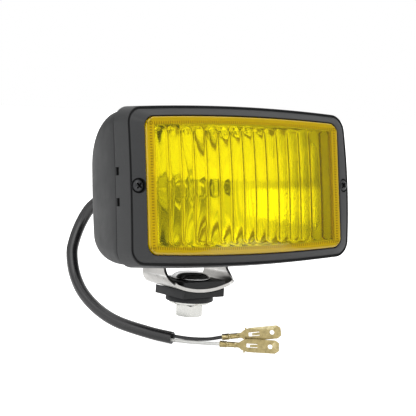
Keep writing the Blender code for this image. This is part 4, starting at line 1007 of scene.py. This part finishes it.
def blade(name, start, tip, nodes):
    """A brass tab with a hole, a window with its locking tongue, and two crimps on the wire."""
    start, tip = Vector(start), Vector(tip)
    facing = Vector((-0.65, -0.76, -0.05))
    ahead = (tip - start).normalized()
    normal = (facing - ahead * facing.dot(ahead)).normalized()
    turn = Matrix((ahead, normal.cross(ahead), normal)).transposed().to_4x4()
    place = LAMP @ Matrix.Translation(start * MM) @ turn

    half = (
        (7.4, 1.2, 0), (9.2, 1.2, 0.5), (10.6, 2.3, 0.4), (11.4, 2.5, 0.1), (11.4, 3.5, 0.1), (12.1, 3.5, 0.1),
        (12.1, 2.8, 0.1), (13.8, 3.15, 0.6), (26.6, 3.15, 0.3), (28.5, 1.9, 0.2),
    )
    outline = [*half, *[(x, -y, cut_length) for x, y, cut_length in half[::-1]]]
    outline = softened([(x, y) for x, y, _ in outline], [cut_length for _, _, cut_length in outline])
    thin = TAB_THICKNESS / 2
    made = raw(name, loft([[(x, y, z) for x, y in outline] for z in (-thin, thin)]))
    window = softened([(12.8, -0.95), (18.2, -0.95), (18.2, 0.95), (12.8, 0.95)], [0.4] * 4)
    cut(made, raw("hole", rod(1.1, -2, 2, 32), Matrix.Translation((24.2 * MM, 0, 0))),
        raw("window", loft([[(x, y, z) for x, y in window] for z in (-2, 2)])))
    tongue = []
    for x, lift in ((18.5, 0), (17.6, 0.06), (16.2, 0.32), (14.6, 0.8)):
        low, high = lift - 0.14, lift + 0.14
        tongue.append([(x, -0.62, low), (x, 0.62, low), (x, 0.62, high), (x, -0.62, high)])
    join(made, raw("tongue", loft(tongue)))

    crimp = ((0, 1.62, 0.04), (0.35, 1.5, 0.08), (2.7, 1.5, 0.08), (3.0, 1.58, 0.04), (3.4, 1.3, 0.3), (4.0, 1.28, 0.42),
             (4.3, 1.42, 0.2), (4.6, 1.32, 0.3), (7.0, 1.3, 0.3), (7.3, 1.42, 0.2), (8.2, 1.1, 0.5))
    rings = []
    for x, radius, groove in crimp:
        ring = []
        for k in range(40):
            angle = 2 * math.pi * k / 40
            off_top = math.remainder(angle - math.pi / 2, 2 * math.pi)
            r = radius * (1 - groove * math.exp(-(off_top / 0.4) ** 2))
            ring.append((x, r * math.cos(angle), r * math.sin(angle)))
        rings.append(ring)
    join(made, raw("crimp", loft(rings)))
    cut(made, raw("bore", rod(CORE_RADIUS + 0.2, -2, 3.2, 24), along_x()))
    settle(made, place, "lamp", LOOKS["brass"], nodes, edge=0.1, angle=30)


def grommet():
    """A ribbed rubber nose round the cable where it enters the housing."""
    bore = JACKET_RADIUS + 0.1
    wall_front = HUMP_END - HOUSING_WALL
    corners = [
        (bore, wall_front - 1.6), (5.2, wall_front - 1.6), (5.2, wall_front - GAP), (3.9, wall_front - GAP),
        (3.9, HUMP_END + GAP), (5.6, HUMP_END + GAP), (5.6, HUMP_END + 1.6), (4.6, HUMP_END + 1.9),
        (4.3, HUMP_END + 2.9), (4.7, HUMP_END + 3.2), (4.0, HUMP_END + 4.0), (4.2, HUMP_END + 4.5),
        (3.7, HUMP_END + 5.5), (bore, HUMP_END + 5.5),
    ]
    profile = softened(corners, [0.2] * len(corners))
    x, z = CABLE_EXIT
    made = raw("rubber_nose", turned(profile, 48), along_y(x, 0, z))
    settle(made, LAMP, "lamp", LOOKS["rubber"], ["cable_grommet"])


def wiring():
    path = cable_path()
    frames = carried_frames(path, Vector((0, 0, 1)))
    sheath(path, frames)
    grommet()
    earth = Vector((-8.4, 9.8, -72.3)), Vector((10.0, -12.4, -70.0))
    feed = Vector((-10.8, 8.9, -75.3)), Vector((7.8, -13.3, -77.4))
    blade("blade_upper", *earth, ["earth_terminal"])
    blade("blade_lower", *feed, ["feed_terminal"])
    earth_outer = [earth[0].lerp(earth[1], share) for share in (0.1, -0.03)]
    earth_outer += [(-12.6, 16.2, -73.2), (-17.2, 23.8, -72.9)]
    feed_outer = [feed[0].lerp(feed[1], share) for share in (0.1, -0.03)]
    feed_outer += [(-13.4, 17.0, -75.1), (-17.4, 25.4, -74.5)]
    earth_inner = [(-28.4, 49.8, -2.4), (-31.2, 48.4, -5.4), (-31.0, 47.3, -8.4)]
    earth_inner += [(-28.5, 46.9, -9), (-24.6, 46.9, -9)]
    feed_inner = [(-26.4, 50.0, 2.2), (-23.6, 50.3, 4.3), (-20.5, 50.8, 5), (-15.6, 50.8, 5)]
    core("wire_black", path, frames, 1, earth_outer, earth_inner, LOOKS["core_black"],
         ["core_black"])
    core("wire_white", path, frames, -1, feed_outer, feed_inner, LOOKS["core_white"],
         ["core_white"])


# ---------------------------------------------------------------- bracket and clamp

def arc_drop(radius, x):
    """Height of a circle about the roll axis, below its centre, at this x."""
    return ARC_HEIGHT - math.sqrt(radius * radius - x * x)


def strap_middle():
    """Middle line of the strap in the XZ plane: (x, z, outward x, outward z), left leg to right leg."""
    radius = ARC_OUTSIDE - STRAP / 2
    bend = BEND_OUTSIDE - STRAP / 2
    leg_x = LEG_OUTSIDE - STRAP / 2
    bend_x = leg_x - bend
    bend_z = ARC_HEIGHT - math.sqrt((radius - bend) ** 2 - bend_x ** 2)
    spread_angle = math.asin(bend_x / (radius - bend))
    half = []
    for k in range(25):
        angle = spread_angle * k / 24
        out = (math.sin(angle), -math.cos(angle))
        half.append((radius * out[0], ARC_HEIGHT + radius * out[1], *out))
    for k in range(1, 13):
        angle = spread_angle + (math.pi / 2 - spread_angle) * k / 12
        out = (math.sin(angle), -math.cos(angle))
        half.append((bend_x + bend * out[0], bend_z + bend * out[1], *out))
    heights = spread(14.5, PIVOT_Z, 1.0)
    heights += [PIVOT_Z + LEG_TOP * math.sin(math.radians(a)) for a in range(6, 87, 6)]
    half += [(leg_x, z, 1, 0) for z in heights]
    return [(-x, z, -out_x, out_z) for x, z, out_x, out_z in half[:0:-1]] + half


def strap_edges(z):
    """Front and back edges of the strap at a height: a wide foot, a flared leg, a round top."""
    if z > PIVOT_Z:
        half = math.sqrt(LEG_TOP ** 2 - (z - PIVOT_Z) ** 2)
        return PIVOT_Y - half, PIVOT_Y + half
    flare = min(1, max(0, (18.5 - z) / 7.5))
    return PIVOT_Y - LEG_TOP - 7.5 * flare ** 2, PIVOT_Y + LEG_TOP


def strap():
    """The strap bent into a U with a curved foot, slotted for the bolt, its legs drilled for the pivot."""
    rings = []
    for x, z, out_x, out_z in strap_middle():
        front, back = strap_edges(z)
        outer = (x + out_x * STRAP / 2, z + out_z * STRAP / 2)
        inner = (x - out_x * STRAP / 2, z - out_z * STRAP / 2)
        ring = [(outer, front), (outer, back), (inner, back), (inner, front)]
        rings.append([(px, y, pz) for (px, pz), y in ring])
    made = raw("steel_strap", loft(rings))
    slot_half, slot_radius = ROLL_SLOT
    outline = []
    for x, y in circle(slot_radius, 48, math.pi / 48):
        outline.append((x + math.copysign(slot_half - slot_radius, x), y))
    cut(made, raw("slot", loft([[(x, y, z) for x, y in outline] for z in (0, 14)])),
        raw("bores", rod(PIVOT_BORE, -30, 30), along_x(0, PIVOT_Y, PIVOT_Z)))
    return settle(made, BOLT, "bracket", LOOKS["steel"], ["u_bracket"], edge=0.5, angle=40)


def curved_block(name, bottom, top):
    """A block over BLOCK_HALF with rounded upright corners, whose heights are functions of x."""
    depth = BLOCK_HALF[1]
    round_corner = 1.2
    xs = [-BLOCK_HALF[0], 0.5 - BLOCK_HALF[0], round_corner - BLOCK_HALF[0]]
    xs = xs + spread(1.6 - BLOCK_HALF[0], BLOCK_HALF[0] - 1.6, 1.0) + [-x for x in xs[::-1]]
    rings = []
    for x in xs:
        over = max(0, abs(x) - (BLOCK_HALF[0] - round_corner))
        half = depth - round_corner + math.sqrt(max(0, round_corner ** 2 - over ** 2))
        low, high = bottom(x), top(x)
        rings.append([(x, -half, low), (x, half, low), (x, half, high), (x, -half, high)])
    return raw(name, loft(rings))


def clamp_blocks():
    """The block under the strap with its ringed boss, and the block above the strap."""
    top = ARC_OUTSIDE + ARC_GAP
    lower = curved_block("clamp_block", lambda x: BOSS_HEIGHT, lambda x: arc_drop(top, x))
    corners = [
        (0, BOSS_HEIGHT + 0.5), (BOSS_RADIUS - 0.6, BOSS_HEIGHT + 0.5), (BOSS_RADIUS - 0.2, BOSS_HEIGHT - 0.5),
        (BOSS_RADIUS, 0.7), (BOSS_RADIUS - 0.2, 0.25), (11.4, 0), (10.3, 0), (10.3, GAP), (0, GAP),
    ]
    profile = softened(corners, (0, 0.2, 0.3, 0.2, 0.2, 0.1, 0.1, 0.1, 0), closed=False)
    join(lower, raw("boss", turned(profile, 72)))
    cut(lower, raw("bore", rod(BOLT_RADIUS + GAP, -2, 12)))
    settle(lower, BOLT, "saddle", LOOKS["block"], ["saddle_block"], edge=0.25)
    bottom = ARC_OUTSIDE - STRAP - ARC_GAP
    upper = curved_block("top_block", lambda x: arc_drop(bottom, x), lambda x: PAD_TOP)
    cut(upper, raw("bore", rod(BOLT_RADIUS + GAP, 2, 14)))
    settle(upper, BOLT, "saddle", LOOKS["block"], ["upper_pad"], edge=0.35)


def clamp_bolt():
    """The mushroom-headed bolt, threaded below the boss."""
    head = 10
    seat = PAD_TOP + GAP
    shank_end = 2
    corners = [
        (0, seat + 3.4), (0.45 * head, seat + 3.25), (0.78 * head, seat + 2.4), (head, seat + 0.6), (head, seat),
        (BOLT_RADIUS, seat), (BOLT_RADIUS, shank_end), (0, shank_end),
    ]
    profile = softened(corners, (0, 3, 2.5, 0.8, 0.2, 0.1, 0, 0), closed=False, steps=8)
    made = raw("mushroom_bolt", turned(profile, 72))
    join(made, raw("thread", threaded(BOLT_RADIUS, 0.55, 1.25, -7.2, shank_end + 1)))
    settle(made, BOLT, "mount", LOOKS["chrome"], ["main_bolt"])


def washer(name, outer, bore, thickness, place, body, look, nodes):
    profile = softened([(bore, 0), (outer, 0), (outer, thickness), (bore, thickness)], [0.2, 0.3, 0.2, 0.15])
    settle(raw(name, turned(profile, 64), place), BOLT, body, look, nodes)


def hexagon(name, across_flats, height, turn, place, bore=0.0):
    """A hexagonal prism from z = 0 upwards whose corners are turned down at both ends."""
    corner = across_flats / math.sqrt(3)
    flat = 0.96 * across_flats / 2
    made = raw(name, rod(corner, 0, height, 6, turn), place)
    fall = (corner - flat) * math.tan(math.radians(28))
    over = 1.5
    rise = fall * over / (corner - flat)
    envelope = [
        (0, height + 1), (flat, height), (corner + over, height - fall - rise),
        (corner + over, fall + rise), (flat, 0), (0, -1),
    ]
    combine(made, "INTERSECT", raw("chamfers", turned(envelope, 96), place))
    if bore:
        sink = [(0, -2), (bore + 2.6, -2), (bore, 0.7), (bore, height - 0.7), (bore + 2.6, height + 2), (0, height + 2)]
        cut(made, raw("bore", turned(sink, 48), place))
    return made


def fixings():
    bore = BOLT_RADIUS + 0.2
    thickness = 1.2
    washer("washer_flat", 10, bore, thickness, Matrix.Translation((0, 0, -thickness * MM)), "mount",
           LOOKS["zinc"], ["flat_washer"])
    nut_place = Matrix.Translation((0, 0, -7.7 * MM))
    nut = hexagon("nut_hex", 13, 6.2, math.radians(-2.5), nut_place, bore)
    settle(nut, BOLT, "mount", LOOKS["zinc"], ["hex_nut"], edge=0.12)

    place = along_x(-26.4, PIVOT_Y, PIVOT_Z)
    made = hexagon("tilt_bolt", 10, 4, 0, place)
    tip = 54.6
    join(made, raw("shank", rod(PIVOT_BOLT, 2, 46), place))
    join(made, raw("thread", threaded(PIVOT_BOLT, 0.45, 1.0, 45, tip), place))
    settle(made, BOLT, "bracket", LOOKS["zinc"], ["pivot_bolt"], edge=0.1)
    nut = hexagon("tilt_nut", 10, 5, 0, along_x(22.4, PIVOT_Y, PIVOT_Z), PIVOT_BORE)
    settle(nut, BOLT, "bracket", LOOKS["zinc"], ["pivot_nut"], edge=0.1)
    for side, word in SIDES:
        outer_face = LEG_OUTSIDE + GAP if side > 0 else -LEG_OUTSIDE - GAP - thickness
        washer(f"tilt_washer_{word}", 6, PIVOT_BORE, thickness, along_x(outer_face, PIVOT_Y, PIVOT_Z), "bracket",
               LOOKS["zinc"], [f"pivot_washer_{word}"])
        inner_face = LUG_HALF + GAP if side > 0 else -LUG_HALF - GAP - 1
        washer(f"rubber_washer_{word}", 7.5, PIVOT_BORE, 1, along_x(inner_face, PIVOT_Y, PIVOT_Z), "bracket",
               LOOKS["rubber"], [f"friction_washer_{word}"])


def finish_carried_nodes():
    """The small pieces inside the lamp keep their CAD meshes and get finishes."""
    finishes = {
        "lens_gasket": "gasket", "bulb_clip": "spring", "bulb_lead": "core_white", "lead_connector": "rubber",
        "earth_tag": "brass", "earth_screw": "zinc",
    }
    for name, look in finishes.items():
        mesh = frame["nodes"][name].data
        mesh.materials.clear()
        mesh.materials.append(LOOKS[look])


# ---------------------------------------------------------------- studio

def studio():
    """A pale floor under a white surround, and soft lights."""
    floor_z = cad_box[0].z / MM - 0.5
    floor = raw("floor", ([(-5000, -5000, floor_z), (5000, -5000, floor_z), (5000, 5000, floor_z),
                           (-5000, 5000, floor_z)], [(0, 1, 2, 3)]))
    paint = bpy.data.materials.new("floor_paint")
    paint.use_nodes = True
    tree = paint.node_tree
    shader = tree.nodes["Principled BSDF"]
    shader.inputs["Base Color"].default_value = (0.7, 0.7, 0.7, 1)
    shader.inputs["Roughness"].default_value = 0.9
    shader.inputs["Emission Color"].default_value = (1, 1, 1, 1)
    path = node(tree, "ShaderNodeLightPath")
    shown = remap(tree, path.outputs["Is Camera Ray"], 0, 0.9, 0, 1)
    mirrored = remap(tree, path.outputs["Is Glossy Ray"], 0, 0.55, 0, 1)
    glow = node(tree, "ShaderNodeMath", {0: shown, 1: mirrored}, operation="MAXIMUM").outputs[0]
    tree.links.new(glow, shader.inputs["Emission Strength"])
    floor.data.materials.append(paint)

    world = bpy.data.worlds.new("surround")
    bpy.context.scene.world = world
    world.use_nodes = True
    tree = world.node_tree
    background = tree.nodes["Background"]
    direction = node(tree, "ShaderNodeTexCoord").outputs["Generated"]
    parts = node(tree, "ShaderNodeSeparateXYZ", {"Vector": direction})
    height = remap(tree, parts.outputs[2], 1.0, 1.3, -0.1, 0.9)
    angle = node(tree, "ShaderNodeMath", {0: parts.outputs[0], 1: parts.outputs[1]}, operation="ARCTAN2").outputs[0]
    bands = node(tree, "ShaderNodeMath", {0: angle, 1: 7.0}, operation="MULTIPLY").outputs[0]
    bands = node(tree, "ShaderNodeMath", {0: bands}, operation="SINE").outputs[0]
    bands = remap(tree, bands, 0.72, 1.15, -0.6, 0.5)
    level = node(tree, "ShaderNodeMath", {0: height, 1: bands}, operation="MULTIPLY").outputs[0]
    facing = node(tree, "ShaderNodeVectorMath", {0: direction, 1: DARK_SIDE}, operation="DOT_PRODUCT")
    flag = remap(tree, facing.outputs["Value"], 1.0, 0.25, 0.8, 0.93)
    level = node(tree, "ShaderNodeMath", {0: level, 1: flag}, operation="MULTIPLY").outputs[0]
    facing = node(tree, "ShaderNodeVectorMath", {0: direction, 1: DARK_BACK}, operation="DOT_PRODUCT")
    flag = remap(tree, facing.outputs["Value"], 1.0, 0.35, 0.7, 0.95)
    level = node(tree, "ShaderNodeMath", {0: level, 1: flag}, operation="MULTIPLY").outputs[0]
    is_camera = node(tree, "ShaderNodeLightPath").outputs["Is Camera Ray"]
    shown = blend_colour(tree, is_camera, level, (1, 1, 1))
    tree.links.new(shown, background.inputs["Color"])
    background.inputs["Strength"].default_value = 1.0

    for name, place, size, power in (
        ("key", (-1.1, -0.6, 0.6), 0.8, 3.0), ("top", (0.1, -0.2, 1.2), 0.9, 2.0),
    ):
        light = bpy.data.lights.new(name, "AREA")
        light.energy = power
        light.size = size
        lamp = bpy.data.objects.new(name, light)
        bpy.context.scene.collection.objects.link(lamp)
        lamp.location = place
        lamp.rotation_euler = (-Vector(place)).to_track_quat("-Z", "Y").to_euler()


def camera():
    made = bpy.data.objects.new("camera", bpy.data.cameras.new("camera"))
    bpy.context.scene.collection.objects.link(made)
    across, level = math.cos(CAMERA_ELEVATION), math.sin(CAMERA_ELEVATION)
    back = Vector((math.sin(CAMERA_AZIMUTH) * across, -math.cos(CAMERA_AZIMUTH) * across, level))
    up = back.cross(Vector((1, 0, 0))).normalized()
    turn = Matrix((up.cross(back), up, back)).transposed().to_4x4()
    made.matrix_world = Matrix.Translation(CAMERA_PLACE) @ turn @ Matrix.Rotation(CAMERA_ROLL, 4, "Z")
    made.data.lens = CAMERA_LENS
    made.data.shift_y = CAMERA_SHIFT
    made.data.clip_start = 0.01
    bpy.context.scene.camera = made


bezel()
bowl()
for side_sign, side_word in SIDES:
    bezel_screw(side_sign, side_word)
ribbed_lens()
mirror_dish()
bulb()
wiring()
strap()
clamp_blocks()
clamp_bolt()
fixings()
finish_carried_nodes()
studio()
camera()
bpy.context.scene.view_settings.view_transform = "Standard"
